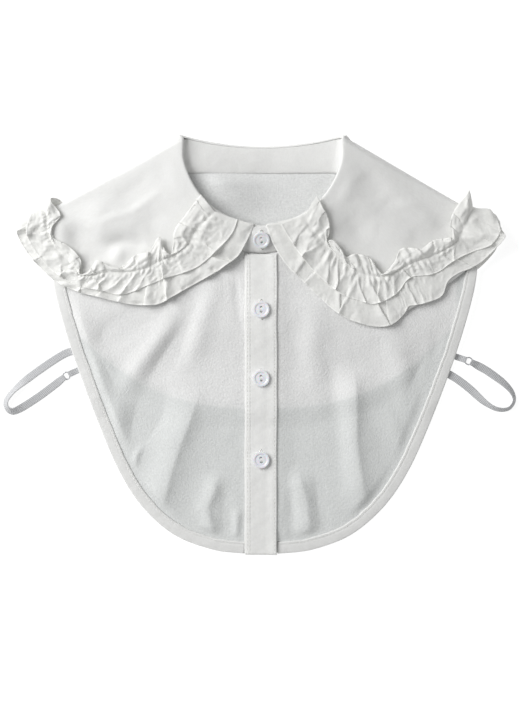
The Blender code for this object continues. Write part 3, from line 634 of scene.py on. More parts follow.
# spun polyester sewing thread, twisted, a little brighter than the cloth
thread = smoothSolid(
    "spun polyester thread",
    {"Roughness": 0.55, "Sheen Weight": 0.2, "Specular IOR Level": 0.35},
    tones=("#e6e6e2", "#fafaf6"),
    cloud=(2500.0, 2.0),
    relief=(0.5, 0.1),
)


def finishWith(piece, material):
    piece.data.materials.clear()
    piece.data.materials.append(material)
    return piece


print("materials made")

# Body panels

panel = {
    "centreX": {-1: -11.0, 1: -10.7},  # where each front ends under the placket
    "centreSteps": {-1: 3, 1: 10},
    "bindStartX": {-1: 14.6, 1: 12.0},
    "firstX": 16.0,  # columns run straight up to here, then fan out round the neck
    "columns": 170,
    "rows": 150,
    "edgeRows": 8,
    "wall": 0.4,
}


def leant(x):
    # the garment leans out a little towards its sides
    return x + 1.5 * smooth((np.abs(x) - 70) / 80)


def shareAtX(x):
    shares = np.linspace(0, 1, 2000)
    return float(np.interp(x, onCurve(frontEdge, shares)[:, 0], shares))


def frontNeckY(x):
    across = np.minimum(1.0, np.abs(x) / garment["seamHalfWidth"])
    power = garment["neckRoundness"]
    depth = garment["neckFrontDrop"] * (1 - across**power) ** (1 / power)
    return garment["neckCornerY"] - garment["bandWidth"] - depth


def backNeckY():
    return garment["neckCornerY"] - garment["bandWidth"] - garment["neckBackDip"]


def shoulderY(x):
    neckEnd = garment["seamHalfWidth"]
    share = (np.abs(x) - neckEnd) / (shoulderTip[0] - neckEnd)
    start = garment["neckCornerY"] - garment["bandWidth"]
    return start + (shoulderTip[1] - start) * share + 5 * np.sin(math.pi * np.clip(share, 0, 1))


def frontRay(share, firstX):
    # edge, inward direction and neck end of one column of a front
    first = shareAtX(firstX)
    place = first + (1 - first) * share
    edge = onCurve(frontEdge, place)
    start = math.asin(firstX / garment["seamHalfWidth"])
    neckX = garment["seamHalfWidth"] * math.sin(start + (math.pi / 2 - start) * share)
    neck = np.array((neckX, float(frontNeckY(neckX))))
    ahead = onCurve(frontEdge, place + 0.01) - onCurve(frontEdge, place - 0.01)
    inward = unit(np.array((-ahead[1], ahead[0])))
    blend = float(smooth((share - 0.8) / 0.2))
    inward = unit(inward + (unit(neck - edge) - inward) * blend)
    return edge, inward, neck


def centreRay(x):
    edge = np.array((x, float(onCurve(frontEdge, shareAtX(abs(x)))[1])))
    neck = np.array((x, float(frontNeckY(x))))
    return edge, np.array((0.0, 1.0)), neck


def frontGrid(side):
    firstX, steps, rows = panel["firstX"], panel["centreSteps"][side], panel["rows"]
    startX = side * panel["centreX"][side]
    rays = [centreRay(startX + (firstX - startX) * k / steps) for k in range(steps)]
    rays += [frontRay(k / (panel["columns"] - 1), firstX) for k in range(panel["columns"])]
    points = np.zeros((len(rays), rows, 3))
    toRing = np.linspace(0, 1, panel["edgeRows"])[:-1, None]
    onward = np.linspace(0, 1, rows - panel["edgeRows"] + 1)[:, None]
    for k, (edge, inward, neck) in enumerate(rays):
        ring = edge + inward * bindingWidth
        column = np.vstack((edge + inward * bindingWidth * toRing, ring + (neck - ring) * onward))
        points[k, :, 0] = leant(side * column[:, 0])
        points[k, :, 1] = column[:, 1]
    points[..., 2] = frontHeight(points[..., 0], points[..., 1])
    return points


frontGrids = {side: frontGrid(side) for side in (-1, 1)}
for side, label, cut, area in ((-1, "right", (172, 272), 0.0345), (1, "left", (184, 272), 0.0402)):
    points = frontGrids[side]
    x, y = points[..., 0], points[..., 1]
    # painted see-through light: paler over the back panel, and a painted greyer line along that panel's hem
    paintedBackedLight = smooth((y - backHemY(x) + 1.5) / 3.0) * smooth((157 - np.abs(x)) / 4)
    hemPaintedGrey = bump((y - backHemY(x) - 2.4) / 1.6) * 0.35
    tone = {"paintedBackedLight": np.clip(paintedBackedLight - hemPaintedGrey, 0, 1)}
    piece = clothPiece(f"front_{label}_cloth", points, cut, panel["wall"], f"front_{label}", values=tone)
    finishWith(piece, crepe)

backSheet = {
    "columns": 221,
    "rows": 70,
    "wall": 0.8,  # at its hem, and half of it elsewhere
    "hemRows": 3,
    "cut": (328, 196),
    "tone": 0.5,  # halfway between the painted see-through grey of one layer and the tone of two
    "hollow": 6.5,  # rise inside the neck from the wearer's left to the right
    "leftRise": 2.5,
}


def backGrid():
    tipX = shoulderTip[0] - 8.0
    outline = [(x, float(backHemY(x))) for x in (0, 30, 60, 90, 115, 132)]
    outline += [(146.0, 178.0), (155.0, 208.0), (tipX - 2.5, 240.0), (tipX, 262.0)]
    edge = curveThrough(outline)
    columns, rows = backSheet["columns"], backSheet["rows"]
    points = np.zeros((columns, rows, 3))
    for k in range(columns):
        along = k / (columns - 1)
        side = -1 if along < 0.5 else 1
        x, y = onCurve(edge, abs(2 * along - 1))
        # the neck edge goes a little way up under the band
        high = backNeckY() + 3.5 if x < garment["seamHalfWidth"] else float(shoulderY(x)) - 0.5
        points[k, :, 0] = leant(side * x)
        points[k, :, 1] = np.linspace(y, high, rows)
    x, y = points[..., 0], points[..., 1]
    small = 0.16 * ripples(x, y, 40.0, 11) * smooth((y - 215) / 20)
    # inside the neck it hollows down from the wearer's right to the left, where nothing lies on it
    inNeck = smooth((0.9 - neckMeasure(x, y)) / 0.25) * smooth((306 - y) / 10)
    hollow = backSheet["hollow"] * smooth((26 - x) / 84) + backSheet["leftRise"] * smooth((x - 30) / 30)
    points[..., 2] = middle(x, y) + garment["backLayer"] + small + hollow * inNeck
    return points


backPoints = backGrid()
hemShare = np.full(backPoints.shape[:2], 0.5)
hemShare[:, : backSheet["hemRows"]] = 1.0
piece = clothPiece(
    "back_panel_cloth",
    backPoints,
    backSheet["cut"],
    backSheet["wall"],
    "back_panel",
    edge=hemShare,
    values={"paintedBackedLight": np.full(backPoints.shape[:2], backSheet["tone"])},
)
finishWith(piece, crepe)
print("panels laid")

# One stitch of sewing thread, copied along each seam
stitching = {"length": 2.3, "pitch": 3.1, "thick": 0.42, "sunk": 0.05}


def stitchBlank():
    deselect()
    bpy.ops.mesh.primitive_uv_sphere_add(segments=6, ring_count=4, radius=0.5 * mm)
    blank = bpy.context.object
    blank.scale = (stitching["length"], stitching["thick"], stitching["thick"])
    bpy.ops.object.transform_apply(location=False, rotation=False, scale=True)
    blank.data.shade_smooth()
    return blank


def joined(pieces, name):
    selectOnly(*pieces)
    bpy.ops.object.join()
    return named(pieces[0], name)


def stitched(name, line):
    # stitches at even steps along a line of points that lies on the cloth
    blank = stitchBlank()
    lengths = np.concatenate(([0], np.cumsum(np.linalg.norm(np.diff(line, axis=0), axis=1))))
    above = (0, 0, stitching["thick"] / 2 - stitching["sunk"])
    row = []
    for number in range(int(lengths[-1] / stitching["pitch"])):
        reach = (number + 0.5 + np.array((-0.3, 0.3))) * stitching["pitch"]
        start, end = (np.array([np.interp(r, lengths, axis) for axis in line.T]) for r in reach)
        copy = copyOf(blank)
        copy.location = toFrame((start + end) / 2 + above)
        copy.rotation_euler = Vector(end - start).to_track_quat("X", "Z").to_euler()
        row.append(copy)
    piece = joined(row, name)
    bpy.ops.object.transform_apply(location=True, rotation=True, scale=True)
    bpy.data.objects.remove(blank)
    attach(piece, "root")
    return finishWith(piece, thread)


# Folded bias binding: over the top, round the cut edge and back under
binding = {
    "columns": 260,
    "top": 10,  # rows on top, round the edge and underneath
    "turn": 5,
    "under": 5,
    "wall": 0.32,
    "radius": 0.55,
    "cutWidth": 20.0,
    "stitchRow": 2,
    "stitchEnds": 6,
}


def bindingRows():
    # across the binding: (distance from the front's edge, height over the cloth)
    rows = []
    for v in np.linspace(1, 0, binding["top"]):
        lip = 0.65 * bump((v - 0.93) / 0.07)
        groove = -0.28 * bump((v - 0.76) / 0.06)
        rows.append((v * bindingWidth, 0.75 + lip + groove + 0.18 * math.sin(math.pi * v)))
    rows[0] = (rows[0][0], 0.35)
    radius = binding["radius"]
    for k in range(1, binding["turn"]):
        angle = math.pi * k / binding["turn"]
        rows.append((-radius * math.sin(angle), 0.2 + radius * math.cos(angle)))
    return rows + [(v * bindingWidth * 0.8, -0.34) for v in np.linspace(0.02, 1, binding["under"])]


def bindingGrid(side):
    columns = binding["columns"]
    rays = [frontRay(k / (columns - 1), panel["bindStartX"][side]) for k in range(columns)]
    steps = [np.linalg.norm(b[0] - a[0]) for a, b in zip(rays, rays[1:])]
    lengths = np.concatenate(([0], np.cumsum(steps)))
    rows = bindingRows()
    points = np.zeros((columns, len(rows), 3))
    for k, (edge, inward, neck) in enumerate(rays):
        for j, (reach, rise) in enumerate(rows):
            wander = 0.28 * float(ripples(lengths[k], 0.0, 12.0, 62 + side)) * reach / bindingWidth
            x, y = edge + inward * (reach + wander)
            pucker = 0.1 * float(ripples(lengths[k], j * 0.7, 8.0, 61)) * (rise > 0.3)
            points[k, j] = (leant(side * x), y, rise + pucker)
    x, y = points[..., 0], points[..., 1]
    points[..., 2] += middle(x, y) + garment["frontLayer"]
    return points, lengths[-1]


bindings = {}
for side, label in ((-1, "right"), (1, "left")):
    points, length = bindingGrid(side)
    bindings[side] = points
    cut = (length, binding["cutWidth"])
    piece = clothPiece(f"binding_{label}_cloth", points, cut, binding["wall"], f"binding_{label}")
    finishWith(piece, poplin)
    ends = binding["stitchEnds"]
    inner = points[ends:-ends, binding["stitchRow"]] + (0, 0, binding["wall"] / 2)
    stitched(f"binding_{label}_stitches", inner)

# Placket: folded buttonhole band with a stitched channel at each side
placket = {
    "x": (-14.2, 11.6),
    "top": 240.4,
    "rows": 220,
    "cut": (25.8, 240.4),
    "wall": 1.25,
    "rise": 1.9,  # over the fronts' middle
    "stitchX": (-12.1, -10.2, 9.6),
    "groove": 0.16,
    "stitchSteps": 200,
}


def placketGrid():
    # rows close together where the seams are
    across = [np.linspace(0, 0.06, 4), np.linspace(0.08, 0.15, 7)]
    across = np.concatenate(across + [np.linspace(0.2, 0.86, 16), np.linspace(0.88, 1, 9)])
    columns, rows = len(across), placket["rows"]
    x = placket["x"][0] + (placket["x"][1] - placket["x"][0]) * across
    y = np.linspace(0, placket["top"], rows)
    grid = np.zeros((columns, rows, 3))
    grid[..., 0], grid[..., 1] = np.meshgrid(x, y, indexing="ij")
    x, y = grid[..., 0], grid[..., 1]
    height = middle(x, np.maximum(y, 2.0)) + garment["frontLayer"] + placket["rise"]
    height -= 0.6 * smooth((-10.6 - x) / 3.6)
    height += 0.9 * smooth((x - 2) / 9)
    for line in placket["stitchX"]:
        height -= placket["groove"] * bump((x - line) / 0.8)
    height += 0.1 * ripples(x, y, 9.0, 21) + 0.16 * ripples(x, y, 34.0, 22)
    height += 0.5 * bump(x / 7) * bump((y - 168) / 30) + 0.4 * bump(x / 7) * bump((y - 108) / 26)
    grid[..., 0] += 0.35 * ripples(np.zeros_like(y) + 3, y, 60.0, 23)
    grid[..., 2] = height
    thick = np.ones((columns, rows))
    thick[[0, -1], :], thick[[1, -2], :] = 0.45, 0.8
    thick[:, [0, -1]] = 0.5
    return grid, thick


placketPoints, placketThick = placketGrid()
piece = clothPiece(
    "placket_cloth", placketPoints, placket["cut"], placket["wall"], "placket", edge=placketThick
)
finishWith(piece, poplin)
onPlacket = treeOf(placketPoints)


def placketRow(name, x):
    ys = np.linspace(3.0, placket["top"] - 1.0, placket["stitchSteps"])
    down = Vector((0, 0, -1))
    heights = [onPlacket.ray_cast(Vector((x, y, aboveAll)), down)[0].z for y in ys]
    line = np.column_stack((np.full(len(ys), x), ys, np.array(heights) + placket["wall"] / 2))
    return stitched(name, line)


channels = [placketRow(f"placket_stitches_{k}", x) for k, x in enumerate(placket["stitchX"], 1)]
print("bindings and placket laid")

# Neck


def fromFront(turn):
    # share of a full turn away from the middle of the front, up to a half
    return min(turn % 1.0, 1 - turn % 1.0)


def neckFold(turn):
    # the collar's fold line, from the front's middle round by the wearer's right
    side = -1 if turn % 1.0 <= 0.5 else 1
    t = fromFront(turn)
    front, high, back = garment["foldHeights"]
    share = garment["frontShare"]
    if t <= share:
        angle = t / share * math.pi / 2
        power = 2 / garment["neckRoundness"]
        x = garment["neckHalfWidth"] * math.sin(angle) ** power
        y = garment["neckCornerY"] - garment["neckFrontDrop"] * max(0.0, math.cos(angle)) ** power
        return np.array((side * x, y, front + (high - front) * math.sin(angle) ** 2))
    angle = (t - share) / (0.5 - share) * math.pi / 2
    x = garment["neckHalfWidth"] * math.cos(angle)
    y = garment["neckCornerY"] - garment["neckBackDip"] * math.sin(angle) ** 2
    return np.array((side * x, y, high + (back - high) * math.sin(angle)))


turned = {
    "corner": 2.4,  # how far the fall turns down behind the fold at the corners
    "back": 2.0,  # and how much further at the back
    "over": 0.06,  # share of a turn over which each comes in
    "angle": 0.85,  # at which the fold leaves the band at the back
    "share": 0.08,  # of the fall's width that lies in the turn
}


def turnDepth(turn):
    past = fromFront(turn) - garment["frontShare"]
    if past <= 0:
        return turned["corner"] * float(smooth((past + turned["over"]) / turned["over"]))
    return turned["corner"] + turned["back"] * float(smooth(past / turned["over"]))


def backTurn(turn):
    # the angle at which the collar's fold leaves the band, further round at the back
    return turned["angle"] * float(smooth((fromFront(turn) - garment["frontShare"] - 0.01) / 0.05))


def neckRim(turn):
    point = neckFold(turn)
    past, depth, angle = fromFront(turn) - garment["frontShare"], turnDepth(turn), backTurn(turn)
    point[0] -= math.copysign(depth * (1 - float(smooth(past / 0.03))), point[0])
    point[1] -= depth * float(smooth((past + 0.015) / 0.03)) * (1 - math.sin(angle))
    point[2] -= (point[2] - garment["fallUnder"] - 5.0) / 2 * (1 - math.cos(angle))
    return point


band = {
    "columns": 400,
    "rows": 14,
    "wall": 0.9,
    "edges": (0.2, 0.5, 0.45),  # share of the wall in the two rows at the seam, and at the top
    "cut": (452, 27.0),
    "rightEnd": 11.6,  # past the front's middle
    "leftEnd": -9.0,
    "belly": 0.85,
    "seamRise": (1.2, -1.05),  # over the panels: at the front, and what is added at the back
    "topBelow": (1.3, -1.5),  # under the collar's fold, likewise: at the back it covers the fall
    "topInside": 1.4,  # towards the wearer at the corners
    "underlap": 1.25,  # how far the left end lies under the right one
}


def bandGrid():
    perTurn = garment["frontShare"] / (garment["neckHalfWidth"] * math.pi / 2)
    first = -band["rightEnd"] * perTurn
    last = 1 - band["leftEnd"] * perTurn
    overlap = 1 - band["rightEnd"] * perTurn
    columns, rows = band["columns"], band["rows"]
    across = np.linspace(0, 1, rows)
    points = np.zeros((columns, rows, 3))
    share = garment["frontShare"]
    for k in range(columns):
        turn = first + (last - first) * k / (columns - 1)
        top, fold = neckRim(turn), neckFold(turn)
        t = fromFront(turn)
        x = fold[0] * garment["seamHalfWidth"] / garment["neckHalfWidth"]
        onBack = float(smooth((t - share) / (0.5 - share) * 3))
        # the seam turns at the corners, under the collar's fold, and runs straight across the back
        dip = garment["neckBackDip"] * float(smooth((t - share + 0.04) / 0.04))
        y = fold[1] - garment["bandWidth"] - dip if t < share else backNeckY()
        layer = garment["frontLayer"] + (garment["backLayer"] - garment["frontLayer"]) * onBack
        rise, below = (front + back * onBack for front, back in (band["seamRise"], band["topBelow"]))
        low = np.array((x, y, float(middle(x, y)) + layer + rise))
        high = top - (0, 0, below)
        high[1] -= band["topInside"] * float(smooth(1 - abs(t - 0.325) / 0.08)) - 0.5 * onBack
        under = -band["underlap"] * float(smooth((turn - overlap + 0.012) / 0.012)) if turn > 0.9 else 0.0
        for j, v in enumerate(across):
            points[k, j] = low + (high - low) * v
            points[k, j, 2] += band["belly"] * math.sin(math.pi * v) + under
    x, y = points[..., 0], points[..., 1]
    inner = np.sin(np.pi * across)[None, :]
    points[..., 2] += (0.25 * ripples(x, y, 26.0, 31) + 0.12 * crumple(x, y, 15.0, 32)) * inner
    return points


bandPoints = bandGrid()
bandThick = np.ones(bandPoints.shape[:2])
bandThick[:, 0], bandThick[:, 1], bandThick[:, -1] = band["edges"]
piece = clothPiece("neckband_cloth", bandPoints, band["cut"], band["wall"], "neckband", edge=bandThick)
finishWith(piece, poplin)


def shoulderDirection(side):
    corner = np.array((side * garment["neckHalfWidth"], garment["neckCornerY"]))
    return unit(corner - shoulderEnds[side])


def rollOutward(side):
    along = shoulderDirection(side)
    return np.array((-along[1], along[0])) if side < 0 else np.array((along[1], -along[0]))


def inwardNormal(curve, share, distance, flip):
    half = 0.02 + 0.0022 * distance
    ahead = onCurve(curve, share + half) - onCurve(curve, share - half)
    return unit(np.array((-ahead[1], ahead[0]))) * flip


def inset(leaf, share, side, distance):
    inward = inwardNormal(leaf, share, distance, side)
    blend = float(smooth((share - 0.7) / 0.3))
    inward = unit(inward + (shoulderDirection(side) - inward) * blend)
    return onCurve(leaf, share) + inward * distance


def insetBack(share, distance):
    inward = inwardNormal(backLeaf, share, distance, 1)
    right, left = float(smooth(1 - share / 0.16)), float(smooth(1 - (1 - share) / 0.16))
    inward = inward + (shoulderDirection(-1) - inward) * right
    inward = inward + (shoulderDirection(1) - inward) * left
    return onCurve(backLeaf, share) + unit(inward) * distance


# Soft dents and swells of the two leaves, as they lie: (points, height, half width)
leafDents = [
    ([(-158, 270), (-144, 248), (-128, 240)], -4.2, 8.0),
    ([(-142, 260), (-134, 248), (-124, 240)], -3.0, 6.0),
    ([(-148, 272), (-128, 264), (-98, 262)], 3.8, 11.0),
    ([(-121, 239), (-110, 241)], 2.4, 6.0),
    ([(-116, 280), (-84, 300)], -1.8, 13.0),
    ([(-138, 236), (-128, 246), (-112, 250), (-100, 248)], -3.0, 5.5),
    ([(-168, 290), (-163, 266), (-152, 248)], 4.6, 13.0),
    ([(-96, 262), (-80, 274)], -2.0, 9.0),
    ([(-154, 282), (-120, 276)], 1.6, 8.0),
    ([(-62, 296), (-66, 318)], 1.2, 9.0),
    ([(-136, 264), (-104, 274), (-84, 288)], 0.8, 3.0),
    ([(66, 270), (84, 250)], -2.2, 10.0),
    ([(94, 262), (122, 252)], 2.2, 12.0),
    ([(78, 304), (98, 286)], -2.2, 12.0),
    ([(108, 284), (138, 268)], 1.6, 9.0),
    ([(140, 258), (148, 268)], -1.8, 8.0),
    ([(66, 300), (62, 280)], 1.4, 8.0),
    ([(100, 276), (128, 282)], 0.6, 3.0),
]
fall = {
    "leaf": 90,  # columns of each leaf, each shoulder's roll and the back
    "roll": 14,
    "back": 90,
    "rows": 56,
    "foldRows": 16,  # of them close together by the fold
    "foldShare": 0.14,
    "lipAngles": (1.45, 0.95, 0.45),
    "edgeInset": 3.0,
    "lip": 1.25,
    "backLip": 0.16,  # share of the lip at the back
    "rollShare": 0.012,  # of a turn on each side of a shoulder's corner
    "wall": 0.7,
    "clear": 0.9,
    "cut": (870, 126.0),
}
firstTurn = {-1: 0.0185, 1: 0.0095}  # where each leaf starts, as a share of the neck's turn


def columnsOf(shape):
    # (part, side, share along it) of each column, from the right front round to the left one
    leaf, roll, back = shape["leaf"], shape["roll"], shape["back"]
    kinds = [("leaf", -1, k / leaf) for k in range(leaf + 1)]
    kinds += [("roll", -1, k / roll) for k in range(1, roll)]
    kinds += [("back", 0, k / back) for k in range(back + 1)]
    kinds += [("roll", 1, 1 - k / roll) for k in range(1, roll)]
    return kinds + [("leaf", 1, k / leaf) for k in range(leaf, -1, -1)]


def leafOnly(kinds, rows):
    return np.array([kind == "leaf" for kind, side, s in kinds])[:, None] & np.ones((1, rows), bool)


def turnedRay(turn, outer, layer, v):
    # down behind the band in a half circle, then out under the back
    fold, depth = neckFold(turn), turnDepth(turn)
    start = np.array((fold[0], fold[1] - depth))
    rest = float(middle(*start)) + layer
    first, turnShare = backTurn(turn), turned["share"]
    angle = first + (np.pi - first) * np.clip(v / turnShare, 0, 1)
    inTurn = np.zeros((len(v), 3))
    inTurn[:, 0] = fold[0]
    inTurn[:, 1] = fold[1] - depth * (1 - np.sin(angle))
    inTurn[:, 2] = (fold[2] + rest) / 2 + (fold[2] - rest) / 2 * np.cos(angle)
    onward = np.clip((v - turnShare) / (1 - turnShare), 0, 1)[:, None]
    plan = start + (outer - start) * onward
    lying = np.column_stack((plan, middle(plan[:, 0], plan[:, 1]) + layer))
    return np.where((v <= turnShare)[:, None], inTurn, lying)


def rollColumn(side, s, v):
    # round a shoulder: from the leaf's end on top to the back's start underneath
    t = garment["frontShare"] + fall["rollShare"] * (2 * s - 1)
    turn = t if side < 0 else 1 - t
    inner = neckRim(turn)
    angle = math.pi / 2 - math.pi * s
    end = shoulderEnds[side] + shoulderDirection(side) * fall["edgeInset"]
    outer = end + rollOutward(side) * rollRadius * math.cos(angle)
    layer = rollLayer + rollRadius * math.sin(angle)
    plan = inner[:2] + (outer - inner[:2]) * v[:, None]
    rest = middle(plan[:, 0], plan[:, 1]) + layer
    away = np.linalg.norm(plan - inner[:2], axis=1)
    above = np.maximum(0.0, 1 - away / garment["rollLength"]) ** 2
    inFront = np.column_stack((plan, rest + (inner[2] - rest) * above))
    behind = turnedRay(turn, outer, layer, v)
    return inFront + (behind - inFront) * float(smooth(s))


def lipOver(column, kind):
    # a small lip rolls over the fold to meet the band inside
    outwards = unit(column[6, :2] - column[0, :2]) if kind != "back" else np.array((0.0, 1.0))
    radius = fall["lip"] * (fall["backLip"] if kind == "back" else 1.0)
    lip = []
    for angle in fall["lipAngles"]:
        drop = radius * (1 - math.cos(angle))
        lip.append([*(column[0, :2] - outwards * radius * math.sin(angle)), column[0, 2] - drop])
    return lip


def fallGrid():
    kinds, rows = columnsOf(fall), fall["rows"]
    byFold = np.linspace(0, fall["foldShare"], fall["foldRows"])
    v = np.concatenate((byFold, np.linspace(fall["foldShare"], 1, rows - fall["foldRows"] + 1)[1:]))
    share, spread = garment["frontShare"], fall["rollShare"]
    points = np.zeros((len(kinds), rows + len(fall["lipAngles"]), 3))
    for k, (kind, side, s) in enumerate(kinds):
        if kind == "leaf":
            leaf = rightLeaf if side < 0 else leftLeaf
            t = firstTurn[side] + (share - spread - firstTurn[side]) * s**0.9
            inner = neckRim(t if side < 0 else 1 - t)
            outer = inset(leaf, 0.012 + 0.988 * s, side, fall["edgeInset"])
            plan = inner[:2] + (outer - inner[:2]) * v[:, None]
            column = np.column_stack((plan, fallRest(plan[:, 0], plan[:, 1])))
        elif kind == "back":
            t = share + spread + (1 - 2 * share - 2 * spread) * s
            column = turnedRay(t, insetBack(s, fall["edgeInset"]), garment["fallUnder"], v)
        else:
            column = rollColumn(side, s, v)
        points[k] = np.vstack((lipOver(column, kind), column))
    x, y = points[..., 0], points[..., 1]
    # the dents fade out at the shoulders and by the fold
    ends = [float(smooth((1 - s) / 0.12)) if kind == "leaf" else 0.0 for kind, side, s in kinds]
    away = smooth((neckMeasure(x, y) - 1.03) / 0.25)
    dents = creases(x, y, leafDents) + 0.3 * ripples(x, y, 46.0, 41) + 0.1 * ripples(x, y, 15.0, 42)
    points[..., 2] += dents * away * np.array(ends)[:, None]
    return points, kinds


tops = [bindings[side][:, : binding["top"]] for side in (-1, 1)]
body = [frontGrids[-1], frontGrids[1], *tops, placketPoints]
fallPoints, fallKinds = fallGrid()
onFront = leafOnly(fallKinds, fallPoints.shape[1])
onFront[:, :6] = False
fallPoints = liftedOver(fallPoints, treeOf(*body), fall["clear"], onFront)
piece = clothPiece("collar_fall_cloth", fallPoints, fall["cut"], fall["wall"], "collar_fall")
finishWith(piece, poplin)
print("neckband and collar laid")

# Frills

# Each leaf's frill at given stations from the front of the neck to the shoulder fold:
# its gathering line, the header's edge above it, and the edges of the two tiers below it
frillLines = {
    -1: {
        "stitch": [(-38, 273.6), (-47.2, 264.8), (-54.8, 256.8), (-58.8, 248), (-66, 242.4),
            (-75.6, 237.6), (-82, 234.4), (-88.4, 231.2), (-96.4, 228), (-106, 226.4),
            (-116.4, 226.4), (-126.8, 225.6), (-135.6, 224), (-142.8, 223.2), (-149.2, 229.6),
            (-157.2, 237.6), (-164.4, 245.6), (-169.2, 254.4), (-171.6, 263.2), (-171.6, 272.8)],
        "header": [(-48.4, 287.2), (-58.8, 273.6), (-69.2, 259.2), (-71.2, 246.4), (-73.2, 239.2),
            (-78, 244), (-82, 253.6), (-90, 242.4), (-101.2, 239.2), (-111.6, 230.4),
            (-122, 230.4), (-131.6, 235.2), (-138.8, 225.6), (-146.8, 224.8), (-144.4, 235.2),
            (-154, 246.4), (-166, 252.8), (-167.4, 261.8), (-160.6, 271.2), (-167.6, 281)],
        "upper": [(-19.6, 267.2), (-23.6, 256.8), (-33.2, 245.6), (-42.8, 236.8), (-52.4, 229.6),
            (-64.4, 224.8), (-75.6, 221.6), (-86, 217.6), (-95.6, 213.6), (-105.2, 209.6),
            (-115.6, 208), (-127.6, 211.2), (-138, 212.8), (-149.2, 216), (-158.8, 220.8),
            (-169.2, 228.8), (-178, 238.4), (-184.4, 248), (-187.6, 256.8), (-186.8, 264.8)],
        "lower": [(-6.8, 263.2), (-13.2, 248.8), (-19.6, 238.4), (-29.2, 231.2), (-39.6, 224.4),
            (-56.4, 215.2), (-71.6, 206.4), (-82, 200.8), (-91.6, 199.6), (-105.2, 200.4),
            (-118.8, 203.2), (-131.6, 206.4), (-144.4, 209.6), (-156.4, 214), (-166.8, 220),
            (-176.4, 228.8), (-185.2, 238.4), (-191.6, 247.6), (-195.2, 255.2), (-195.2, 259.2)],
    },
    1: {
        "stitch": [(33.7, 270.6), (36.4, 263.2), (41.2, 256.8), (47.6, 250.4), (54, 244), (60.4, 238.4),
            (66, 232.8), (72.4, 228), (78.8, 224.8), (85.2, 223.2), (91.6, 222.4), (98, 223.2),
            (104.4, 225.6), (110.8, 228.8), (117.2, 232), (124.4, 235.2), (131.6, 237.6), (139.6, 240.8),
            (146.8, 244.8), (153.2, 249.6), (158, 256), (161.6, 264), (164.8, 272)],
        "header": [(42.8, 286), (46.8, 278.4), (52.4, 266.8), (52.9, 256.8), (50.8, 250), (55.6, 251.2),
            (63, 242.6), (66, 237.6), (72.4, 240), (80.4, 239.2), (86.8, 235.2), (92.4, 225.6),
            (97.2, 224.8), (105.2, 234.4), (109.2, 243.6), (117.2, 245.2), (125.5, 243.8), (135.6, 250.9),
            (144.4, 252.4), (151.2, 254.4), (149, 264), (152.8, 275.4), (162.4, 288.2)],
        "upper": [(14.6, 263.7), (21, 252.8), (28.6, 241.4), (37.5, 230.4), (45.2, 222.4), (52.9, 215.8),
            (61.8, 208.8), (69.2, 205.6), (77.2, 203.2), (87.3, 200.4), (95.6, 202.4), (102.8, 206),
            (109.2, 211.2), (114.8, 219.2), (120.4, 222.4), (127.6, 223.2), (134.8, 224), (142, 227.2),
            (150, 233.2), (158.8, 238.2), (169, 242.6), (182, 247.6), (189.6, 258.6)],
        "lower": [(3.1, 263), (8.2, 249), (18.8, 232), (30, 220.8), (38, 212.8), (46.8, 204.8),
            (56.4, 196), (66, 189.6), (75.6, 186), (89.8, 182.6), (102.8, 184), (112.4, 192),
            (116.4, 198.4), (121.2, 199.6), (129.2, 201.2), (142.8, 206.8), (147.6, 218.4), (155.6, 224.8),
            (165.2, 228.8), (174.8, 234.4), (183.6, 242.8), (191.6, 252), (192.4, 257.2)],
    },
}
